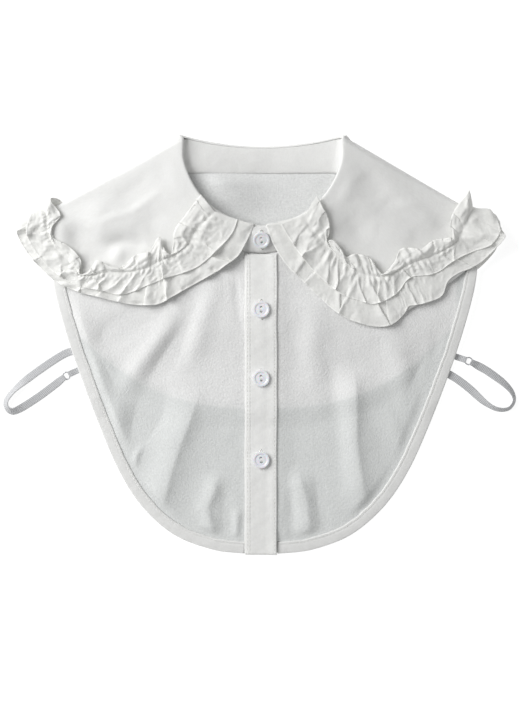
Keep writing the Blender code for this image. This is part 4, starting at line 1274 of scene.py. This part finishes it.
# Flutes of each tier, in stations: (centre, half width, height, lean, pinch). A flute leans over
# to the side that it runs to on its way out
frillFlutes = {
    (-1, "lower"): [
        (1.8, 0.5, 1.4, 0.2, 0.1), (3.4, 0.35, 2.0, -0.3, 0.2), (5.9, 0.3, 4.2, 0.15, 0.5),
        (7.2, 0.45, 2.2, 0.7, 0.3), (8.6, 0.3, 2.8, 0.9, 0.4), (9.6, 0.45, 2.4, 1.1, 0.4),
        (11.2, 0.35, 2.6, 0.8, 0.4), (12.9, 0.5, 2.2, -0.4, 0.3), (14.9, 0.6, 2.4, 0.5, 0.3),
        (16.4, 0.4, 2.6, -0.6, 0.3), (18.2, 0.6, 2.2, 0.3, 0.3),
    ],
    (-1, "upper"): [
        (0.8, 0.3, 1.4, 0.3, 0.1), (1.9, 0.26, 2.6, 0.6, 0.3), (2.8, 0.34, 3.0, -0.5, 0.3),
        (4.4, 0.3, 2.4, 0.2, 0.3), (6.0, 0.26, 5.0, 0.05, 0.6), (7.2, 0.4, 2.6, 1.0, 0.4),
        (8.3, 0.26, 3.2, 1.3, 0.5), (9.1, 0.34, 2.8, 1.5, 0.5), (10.5, 0.28, 3.4, 1.0, 0.5),
        (12.0, 0.4, 2.4, -0.7, 0.4), (13.7, 0.3, 2.6, 0.6, 0.4), (15.4, 0.55, 2.4, -0.8, 0.3),
        (17.0, 0.35, 2.6, 0.7, 0.4), (18.6, 0.5, 2.2, -0.4, 0.3),
    ],
    (1, "lower"): [
        (2.2, 0.35, 1.8, 0.3, 0.2), (4.2, 0.4, 2.4, -0.4, 0.3), (5.7, 0.3, 2.8, 0.5, 0.3),
        (7.3, 0.5, 2.2, -0.3, 0.3), (9.0, 0.45, 3.6, 0.35, 0.5), (10.6, 0.35, 2.4, -0.5, 0.4),
        (12.7, 0.4, 2.6, 0.3, 0.4), (15.1, 0.8, 1.8, -0.2, 0.3), (17.4, 0.42, 3.0, 0.5, 0.4),
        (20.4, 0.95, 9.5, 0.1, 0.35),
    ],
    (1, "upper"): [
        (0.9, 0.24, 1.8, 0.3, 0.2), (1.8, 0.3, 2.6, 0.5, 0.3), (3.0, 0.26, 3.2, -0.6, 0.4),
        (4.1, 0.35, 2.6, 0.4, 0.3), (5.0, 0.24, 3.2, 0.7, 0.4), (6.3, 0.4, 2.8, -0.5, 0.4),
        (7.4, 0.3, 2.8, 0.8, 0.45), (8.7, 0.45, 3.2, 0.9, 0.5), (10.3, 0.28, 2.8, -0.7, 0.5),
        (11.9, 0.5, 3.2, -0.3, 0.4), (13.0, 0.22, 3.0, 0.3, 0.5), (15.4, 0.9, 1.8, 0.0, 0.2),
        (17.3, 0.28, 3.2, 0.6, 0.5), (18.9, 0.5, 2.8, -0.3, 0.4), (20.6, 0.55, 4.8, 0.1, 0.4),
    ],
}
frill = {
    "leaf": 300,  # columns of each leaf, each shoulder's roll and the back
    "roll": 18,
    "back": 130,
    "wall": 0.38,
    "hem": 2.5,  # the rolled hem is this many times as thick
    "hemStep": 0.035,
    "insets": {"stitch": 31.0, "header": 42.0, "upper": 11.0, "lower": 0.0},
    "leafLength": 232.0,
    "backLength": 430,
    "droop": 2.4,
    "stand": 1.8,  # of the header over the gathering line
    "ruffle": 2.6,  # how much more of it where it stands up
    "curl": 2.0,
    "swing": 0.28,  # stations that the header's edge runs ahead or behind
    "wave": 1.3,
    "flatter": {-1: (11.5, 19.0), 1: (-1.0, 5.5)},  # stations between which the header lies over
    "ears": {-1: 1.6, 1: 5.5},  # how far the lower tiers loop out over each shoulder
    "shoulderBulge": 8.0,
    "seeds": {"lower": 50, "upper": 70, "back": 90},
    "clear": {"lower": 0.85, "upper": 0.75},
    "tierHeight": {"lower": 1, "upper": 2},
    "cuts": {"lower": (1500, 33.0), "upper": (1500, 34.0)},
}


def flutes(u, v, table):
    # height of the flutes at a station and a share out, and how far they pull the cloth along
    rise, pull = np.zeros_like(v), np.zeros_like(v)
    for centre, width, height, lean, pinch in table:
        wide = width * (0.45 + 0.55 * v)
        t = (u - centre - lean * v) / wide
        rise += height * v**0.75 * bump(t)
        pull -= pinch * wide * t * bump(t * 0.8) * smooth(v * 1.6)
        pull += math.copysign(0.75, lean) * wide * bump(t) * smooth(v * 1.3)
    return rise, pull


def gathers(along, v, seed):
    # uneven puffs on both sides of the gathering thread, tight in some places and loose in
    # others, and beyond them the crushed facets of thin cloth
    puffs = ripples(along, v * 7.0, 6.0, seed)
    tight = smooth(0.55 + 0.8 * ripples(along, 0 * v, 40.0, seed + 1))
    near = 1.7 * (0.15 + 0.85 * tight) * (puffs + 0.7) * bump((np.abs(v) - 0.15) / 0.13)
    crushed = 0.9 * crumple(along, v * 26.0, 17.0, seed + 3) + 0.5 * crumple(along, v * 26.0, 8.0, seed + 4)
    return near + (0.5 + crushed + 0.5 * ripples(along, v * 6.0, 19.0, seed + 2)) * smooth(np.abs(v) * 3.0)


def backColumn(tier, s, v, headed):
    # pressed nearly flat under the garment
    stitch, edge, head = (insetBack(s, frill["insets"][line]) for line in ("stitch", tier, "header"))
    plan = stitch + (np.where(headed[:, None], head, edge) - stitch) * v[:, None]
    pleat = 0.22 * gathers(np.full_like(v, s * frill["backLength"]), v, frill["seeds"]["back"])
    under = garment["layer"] * frill["tierHeight"][tier]
    z = middle(plan[:, 0], plan[:, 1]) + garment["fallUnder"] - under - 0.15 * v - pleat
    return np.column_stack((plan, z))


def frillGrid(tier, w):
    # w: 0 at the gathering line, 1 at the tier's edge, -1 at the header's edge
    kinds = columnsOf(frill)
    points = np.zeros((len(kinds), len(w), 3))
    v = np.abs(w)
    layers = garment["layer"] * frill["tierHeight"][tier]
    headed = w < 0
    for k, (kind, side, s) in enumerate(kinds):
        if kind == "back":
            points[k] = backColumn(tier, s, v, headed)
            continue
        lines = frillLines[side]
        last = len(lines["stitch"]) - 1
        u = np.full_like(v, s * last if kind == "leaf" else last)
        rise, pull = flutes(u, v, frillFlutes[(side, tier)])
        along = (s if kind == "leaf" else 1.0) * frill["leafLength"]
        # the hems wave a little between the flutes
        seed = frill["seeds"][tier] + side
        nearHem = frill["wave"] * smooth((v - 0.5) / 0.5) * (~headed)
        rise = rise + nearHem * (0.4 + ripples(along, 0 * v, 11.0, seed + 6))
        pull = pull + 0.12 * nearHem * ripples(along, 0 * v, 11.0, seed + 9)
        pull = pull * smooth((last - u) / 1.5) * smooth(u / 0.8)
        pleat = gathers(np.full_like(v, along), np.where(headed, -v, v), seed)
        onThread = byStation(lines["stitch"], u + pull * v)
        # the header's edge swings to and fro as well as up and down, so that it curls
        swing = frill["swing"] * ripples(along, 0 * v, 9.5, 99 + side) * smooth((last - u) / 1.5)
        headerLine = byStation(lines["header"], u + swing)
        edgeLine = np.where(headed[:, None], headerLine, byStation(lines[tier], u + pull))
        ruffle = frill["ruffle"] * smooth(0.4 + ripples(along, 0 * v, 21.0, 95 + side))
        stand = frill["stand"] + ruffle + frill["curl"] * ripples(along, v, 9.5, 97 + side) * v
        first, end = frill["flatter"][side]
        stand = stand * (1 - 0.45 * smooth(u - first) * smooth(end + 1 - u))
        start = smooth(u / 0.7)
        rise = np.where(headed, stand * np.sin(v * 2.6), rise * start) + pleat * start
        base = onThread + (edgeLine - onThread) * v[:, None]
        if kind == "leaf":
            droop = frill["droop"] * smooth(v) * smooth((last - u) / 3.0) * (~headed)
            z = fallRest(base[:, 0], base[:, 1]) + layers + rise - droop
            points[k] = np.column_stack((base, z))
            continue
        # round the shoulder: from the leaf's last station to the back's first
        back = 0.0 if side < 0 else 1.0
        stitch, edge, head = (insetBack(back, frill["insets"][line]) for line in ("stitch", tier, "header"))
        backEnd = stitch + (np.where(headed[:, None], head, edge) - stitch) * v[:, None]
        base = base + (backEnd - base) * float(smooth(s * 1.2))
        ear = frill["ears"][side] * bump((v - 0.62) / 0.4) * bump((s - 0.42) / 0.22) * (~headed)
        bulge = frill["shoulderBulge"] * v**2 * math.sin(math.pi * s) * (~headed)
        base = base + shoulderDirection(side) * bulge[:, None]
        rise = rise * (1 - float(smooth(s * 1.9))) + 0.15 * v * float(smooth(s)) + ear
        angle = math.pi / 2 - math.pi * s
        radius = rollRadius + layers + rise
        plan = base + rollOutward(side) * (radius * math.cos(angle))[:, None]
        z = middle(plan[:, 0], plan[:, 1]) + rollLayer + radius * math.sin(angle)
        points[k] = np.column_stack((plan, z))
    return points


def layFrill(tier, w, hemRows, below):
    live = leafOnly(columnsOf(frill), len(w))
    points = liftedOver(frillGrid(tier, w), below, frill["clear"][tier], live)
    hemmed = np.full(points.shape[:2], 1 / frill["hem"])
    hemmed[:, hemRows] = 1.0
    # painted see-through light: the thin frill gets the painted greyer tone and its rolled hem, of more
    # layers, the paler one, a painted bright line along the hem
    tone = {"paintedBackedLight": (hemmed - 0.45) / 0.55}
    wall, cut = frill["wall"] * frill["hem"], frill["cuts"][tier]
    piece = clothPiece(f"frill_{tier}_cloth", points, cut, wall, f"frill_{tier}", hemmed, tone)
    return points, finishWith(piece, voile)


hemStep = frill["hemStep"]
lowerRows = np.concatenate((np.linspace(-0.03, 1 - 2.2 * hemStep, 24), [1 - hemStep, 1 - hemStep / 2, 1.0]))
lowerPoints, piece = layFrill("lower", lowerRows, [-2, -1], treeOf(*body, fallPoints))

headRows = -np.concatenate(([1.0, 1 - 0.05, 1 - 0.1], np.linspace(1 - 0.2, 0.08, 12)))
upperRows = np.concatenate((headRows, np.linspace(0, 1 - 0.12, 20), [1 - 0.055, 1 - 0.028, 1.0]))
belowUpper = treeOf(lowerPoints, fallPoints, frontGrids[1], frontGrids[-1])
_, piece = layFrill("upper", upperRows, [0, 1, -2, -1], belowUpper)
print("frills gathered")

# Buttons

button = {
    "radius": 6.6,
    "height": 2.4,
    "rim": 1.5,
    "dish": 0.5,
    "slope": 0.7,  # width of the slope from the rim into the dish
    "crown": (1.6, 0.18),  # the dish's middle rises a little: inset and height
    "foot": 1.3,
    "footSlope": (0.4, 0.3),
    "soft": 0.28,
    "hole": 1.0,
    "spacing": 3.2,
    "x": -1.0,
    "bandY": 251.6,
    "ys": (196.4, 141.4, 76.0),
    "overBand": 2.2,
    "overPlacket": 2.6,
    "gap": 0.4,  # thread shank between the cloth and the button
    "bandGap": 0.9,
}
buttonThread = {"strands": 4, "pitch": 0.36, "radius": 0.24, "length": 4.2, "top": 1.95, "dip": 1.5}
buttonSlit = {"halfWidth": 0.65, "stitch": 0.45, "past": 0.8, "flat": 0.7}


def selectFaces(piece, rule):
    mesh = bmesh.from_edit_mesh(piece.data)
    for face in mesh.faces:
        face.select_set(rule(face))
    mesh.select_flush_mode()
    bmesh.update_edit_mesh(piece.data)


def insetBy(width, depth=0.0):
    bpy.ops.mesh.inset(thickness=width * mm, depth=depth * mm)


def turnedButton():
    # a disc, inset for its rim, pushed down for the dish, edges rounded, two holes drilled
    radius, height = button["radius"] * mm, button["height"] * mm
    deselect()
    bpy.ops.mesh.primitive_cylinder_add(
        vertices=56, radius=radius, depth=height, location=(0, 0, height / 2)
    )
    disc = bpy.context.object
    disc.name = "button_blank"
    bpy.ops.object.transform_apply(location=True, rotation=False, scale=False)
    bpy.ops.object.mode_set(mode="EDIT")
    bpy.ops.mesh.select_mode(type="FACE")
    bpy.ops.mesh.select_all(action="DESELECT")
    selectFaces(disc, lambda face: face.normal.z > 0.9)
    insetBy(button["rim"])
    insetBy(button["slope"], -button["dish"])
    insetBy(*button["crown"])
    bpy.ops.mesh.select_all(action="DESELECT")
    selectFaces(disc, lambda face: face.normal.z < -0.9)
    insetBy(button["foot"])
    insetBy(*button["footSlope"])
    bpy.ops.object.mode_set(mode="OBJECT")
    for side in (-1, 1):
        deselect()
        bpy.ops.mesh.primitive_cylinder_add(
            vertices=18,
            radius=button["hole"] * mm,
            depth=9 * mm,
            location=(0, side * button["spacing"] / 2 * mm, 0),
        )
        drill = bpy.context.object
        bore = disc.modifiers.new("hole", "BOOLEAN")
        bore.operation = "DIFFERENCE"
        bore.object = drill
        bore.solver = "EXACT"
        selectOnly(disc)
        bpy.ops.object.modifier_apply(modifier="hole")
        bpy.data.objects.remove(drill)
    soft = disc.modifiers.new("soft edges", "BEVEL")
    soft.width = button["soft"] * mm
    soft.segments = 3
    soft.angle_limit = math.radians(35)
    applyAll(disc)
    bpy.ops.object.shade_smooth_by_angle(angle=math.radians(50))
    return disc


def threadBars():
    # four strands from hole to hole, sunk into both
    strands = []
    for k in range(buttonThread["strands"]):
        x = (k - (buttonThread["strands"] - 1) / 2) * buttonThread["pitch"]
        deselect()
        bpy.ops.mesh.primitive_cylinder_add(
            vertices=10,
            radius=buttonThread["radius"] * mm,
            depth=buttonThread["length"] * mm,
            location=(x * mm, 0, 0),
            rotation=(math.pi / 2, 0, 0),
        )
        strand = bpy.context.object
        bpy.ops.object.transform_apply(location=True, rotation=True, scale=False)
        bpy.ops.object.mode_set(mode="EDIT")
        bpy.ops.mesh.select_all(action="SELECT")
        bpy.ops.mesh.subdivide(number_cuts=5)
        bpy.ops.object.mode_set(mode="OBJECT")
        for vertex in strand.data.vertices:
            out = abs(vertex.co.y) / (buttonThread["length"] / 2 * mm)
            vertex.co.z += (buttonThread["top"] - buttonThread["dip"] * out**3) * mm
            vertex.co.x *= 1 - 0.25 * out**2
        strand.data.shade_smooth()
        strands.append(strand)
    return joined(strands, "button_thread_blank")


def placed(blank, name, place, tilt):
    piece = named(copyOf(blank), name)
    selectOnly(piece)
    piece.location = toFrame(place)
    piece.rotation_euler = tilt
    bpy.ops.object.transform_apply(location=True, rotation=True, scale=False)
    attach(piece, "root")
    return piece


def buttonhole(name, place, tilt):
    # a long narrow ring of close zigzag stitches, from a torus drawn out along its length
    deselect()
    bpy.ops.mesh.primitive_torus_add(
        major_segments=64,
        minor_segments=8,
        major_radius=buttonSlit["halfWidth"] * mm,
        minor_radius=buttonSlit["stitch"] * mm,
    )
    ring = bpy.context.object
    for number, vertex in enumerate(ring.data.vertices):
        bead = 1 + 0.12 * (-1) ** (number // 8)
        vertex.co.y += math.copysign((button["radius"] + buttonSlit["past"]) * mm, vertex.co.y)
        vertex.co.x *= bead
        vertex.co.z *= buttonSlit["flat"] * bead
    ring.data.shade_smooth()
    piece = placed(ring, name, place, tilt)
    bpy.data.objects.remove(ring)
    return finishWith(piece, thread)


buttonBlank, threadBlank = turnedButton(), threadBars()
seamY = garment["neckCornerY"] - garment["neckFrontDrop"] - garment["bandWidth"]
bandLow = float(middle(button["x"], seamY)) + garment["frontLayer"] + 1.4
bandHigh = garment["foldHeights"][0] - 1.5
bandTilt = math.atan2(bandHigh - bandLow, garment["bandWidth"])
onBand = (bandLow + bandHigh) / 2 + button["overBand"]
spots = [("button_band", (button["x"], button["bandY"], onBand), (bandTilt, 0, 0.2))]
for number, y in enumerate(button["ys"], 1):
    top = float(middle(button["x"], y)) + garment["frontLayer"] + button["overPlacket"]
    place = (button["x"], y, top + button["gap"])
    spots.append((f"button_{number}", place, (0.02, -0.02, 0.05 * number)))
for node, place, tilt in spots:
    disc = placed(buttonBlank, f"{node}_disc", place, tilt)
    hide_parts(node)
    finishWith(disc, resin)
    finishWith(placed(threadBlank, f"{node}_thread", place, tilt), thread)
    onCloth = np.array(place) - (0, 0, button["bandGap"] if node == "button_band" else button["gap"])
    buttonhole(f"{node}_hole_stitches", onCloth, (tilt[0], 0, 0.03))
for blank in (buttonBlank, threadBlank):
    bpy.data.objects.remove(blank)
print("buttons sewn on")

# Side straps

straps = {
    "strap_right": {
        "route": [(-146.5, 164), (-158, 161.4), (-175, 150.8), (-193, 137.4), (-203.4, 127),
            (-205.8, 120.4), (-202.6, 115.4), (-196.6, 116), (-182, 125), (-171, 133), (-158.6, 142.6)],
        "tilts": [(0.1, 0), (0.35, 10), (0.46, 50), (0.58, 50), (0.7, 10), (0.9, 0)],
    },
    "strap_left": {
        "route": [(144.5, 147.4), (155, 141.4), (166, 133), (178, 122), (188, 116.6), (197, 117),
            (201.6, 123), (200, 130), (194, 137), (186, 143.2), (178, 148.6), (166.8, 154.6)],
        "tilts": [(0.08, 0), (0.25, 20), (0.4, 60), (0.6, 62), (0.78, 20), (0.9, 0)],
    },
}
tabs = {
    "tab_right": ((-140.0, 151.6), (-155.8, 144.3)),
    "tab_left": ((147.0, 161.4), (163.6, 155.9)),
}
rings = {"ring_right": (-157.4, 143.4), "ring_left": (165.4, 155.2)}
wire = {"ring": 2.9, "radius": 0.6, "height": 0.65}
tape = {
    "width": 6.4,
    "endWidth": 5.0,
    "endLength": 8.0,
    "wall": 0.85,
    "selvedge": 0.55,  # share of the wall at both edges
    "low": 0.5,  # its middle, where it lies on the table
    "overRing": 2.05,
    "columns": 240,
    "rows": 11,
    "tabColumns": 40,
    "tabRows": 9,
}


def tapeHeight(along, length, x, y):
    # up under the front where it is sewn on, and up over the ring at its other end
    underFront = float(middle(x, y)) + garment["frontLayer"] - garment["layer"]
    low, high = tape["low"], tape["overRing"]
    sewn = 1 - float(smooth(along * length / tape["endLength"]))
    looped = 1 - float(smooth((1 - along) * length / tape["endLength"]))
    return low + (underFront - low) * sewn + (high - low) * looped


def strapGrid(route, tilts):
    curve = curveThrough(route)
    length = curve[1][-1]
    columns, rows = tape["columns"], tape["rows"]
    points = np.zeros((columns, rows, 3))
    across = np.linspace(-0.5, 0.5, rows)
    for k in range(columns):
        share = k / (columns - 1)
        x, y = onCurve(curve, share)
        ahead = unit(onCurve(curve, share + 0.02) - onCurve(curve, share - 0.02))
        sideways = np.array((-ahead[1], ahead[0]))
        tilt = math.radians(float(np.interp(share, *np.transpose(tilts))))
        looped = 1 - float(smooth((1 - share) * length / tape["endLength"]))
        width = tape["width"] + (tape["endWidth"] - tape["width"]) * looped
        lowest = tape["low"] * (1 - math.cos(tilt))
        rest = tapeHeight(share, length, x, y) + width / 2 * abs(math.sin(tilt)) - lowest
        points[k, :, :2] = np.array((x, y)) + sideways * (width * across * math.cos(tilt))[:, None]
        points[k, :, 2] = rest + width * across * math.sin(tilt)
    return points, length


def tabGrid(start, end):
    start, end = np.array(start), np.array(end)
    length = float(np.linalg.norm(end - start))
    sideways = unit(np.array((-(end - start)[1], (end - start)[0])))
    reach = (np.linspace(-0.5, 0.5, tape["tabRows"]) * tape["endWidth"])[:, None]
    columns = tape["tabColumns"]
    points = np.zeros((columns, tape["tabRows"], 3))
    for k in range(columns):
        share = k / (columns - 1)
        plan = start + (end - start) * share + sideways * reach
        points[k] = np.column_stack((plan, [tapeHeight(share, length, *spot) for spot in plan]))
    return points, length


for node, shape in straps.items():
    points, length = strapGrid(shape["route"], shape["tilts"])
    thick = np.ones(points.shape[:2])
    thick[:, [0, -1]] = tape["selvedge"]
    piece = clothPiece(f"{node}_tape", points, (length, 6.4), tape["wall"], node, edge=thick)
    finishWith(piece, elastic)
for node, ends in tabs.items():
    points, length = tabGrid(*ends)
    piece = clothPiece(f"{node}_tape", points, (length, tape["endWidth"]), tape["wall"], node)
    finishWith(piece, elastic)
for node, (x, y) in rings.items():
    deselect()
    bpy.ops.mesh.primitive_torus_add(
        major_segments=48,
        minor_segments=14,
        major_radius=wire["ring"] * mm,
        minor_radius=wire["radius"] * mm,
        location=toFrame((x, y, wire["height"])),
    )
    piece = named(bpy.context.object, f"{node}_wire")
    bpy.ops.object.transform_apply(location=True, rotation=True, scale=True)
    piece.data.shade_smooth()
    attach(piece, "root")
    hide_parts(node)
    finishWith(piece, coated)
print("straps laid")

# Floor, light, camera

studio = {
    "floor": 3.0,
    "floorLevel": -0.0002,
    "key": 23.5,
    "soft": 1.0,
    "elevation": 39,
    "azimuth": 155,
    "distance": 1.6,
    "sky": 0.34,
    "skyColour": (0.995, 1.0, 1.0, 1),
    "camera": (-0.0004, -0.0116, 1.365),  # straight above, looking down
    "lens": 85,
}
deselect()
bpy.ops.mesh.primitive_plane_add(size=studio["floor"], location=(0, 0, studio["floorLevel"]))
floor = bpy.context.object
floor.name = "floor"
paper = newMaterial(
    "white backdrop paper",
    {
        "Base Color": hexColour("#989898"),
        "Roughness": 0.9,
        "Emission Color": (1, 1, 1, 1),
        "Emission Strength": 0.85,
    },
)[0]
floor.data.materials.append(paper)

elevation, azimuth = math.radians(studio["elevation"]), math.radians(studio["azimuth"])
flat = math.cos(elevation)
toLight = Vector((flat * math.cos(azimuth), flat * math.sin(azimuth), math.sin(elevation)))
bpy.ops.object.light_add(type="AREA", location=toLight * studio["distance"])
key = bpy.context.object
key.name = "key"
key.data.shape = "SQUARE"
key.data.size = studio["soft"]
key.data.energy = studio["key"]
key.rotation_euler = toLight.to_track_quat("Z", "Y").to_euler()

world = bpy.data.worlds.new("studio")
bpy.context.scene.world = world
world.use_nodes = True
sky = world.node_tree.nodes["Background"].inputs
sky["Color"].default_value = studio["skyColour"]
sky["Strength"].default_value = studio["sky"]
bpy.context.scene.view_settings.view_transform = "Standard"

bpy.ops.object.camera_add(location=studio["camera"], rotation=(0, 0, 0))
camera = bpy.context.object
camera.data.lens = studio["lens"]
camera.data.sensor_width = 36
bpy.context.scene.camera = camera
print("studio set")
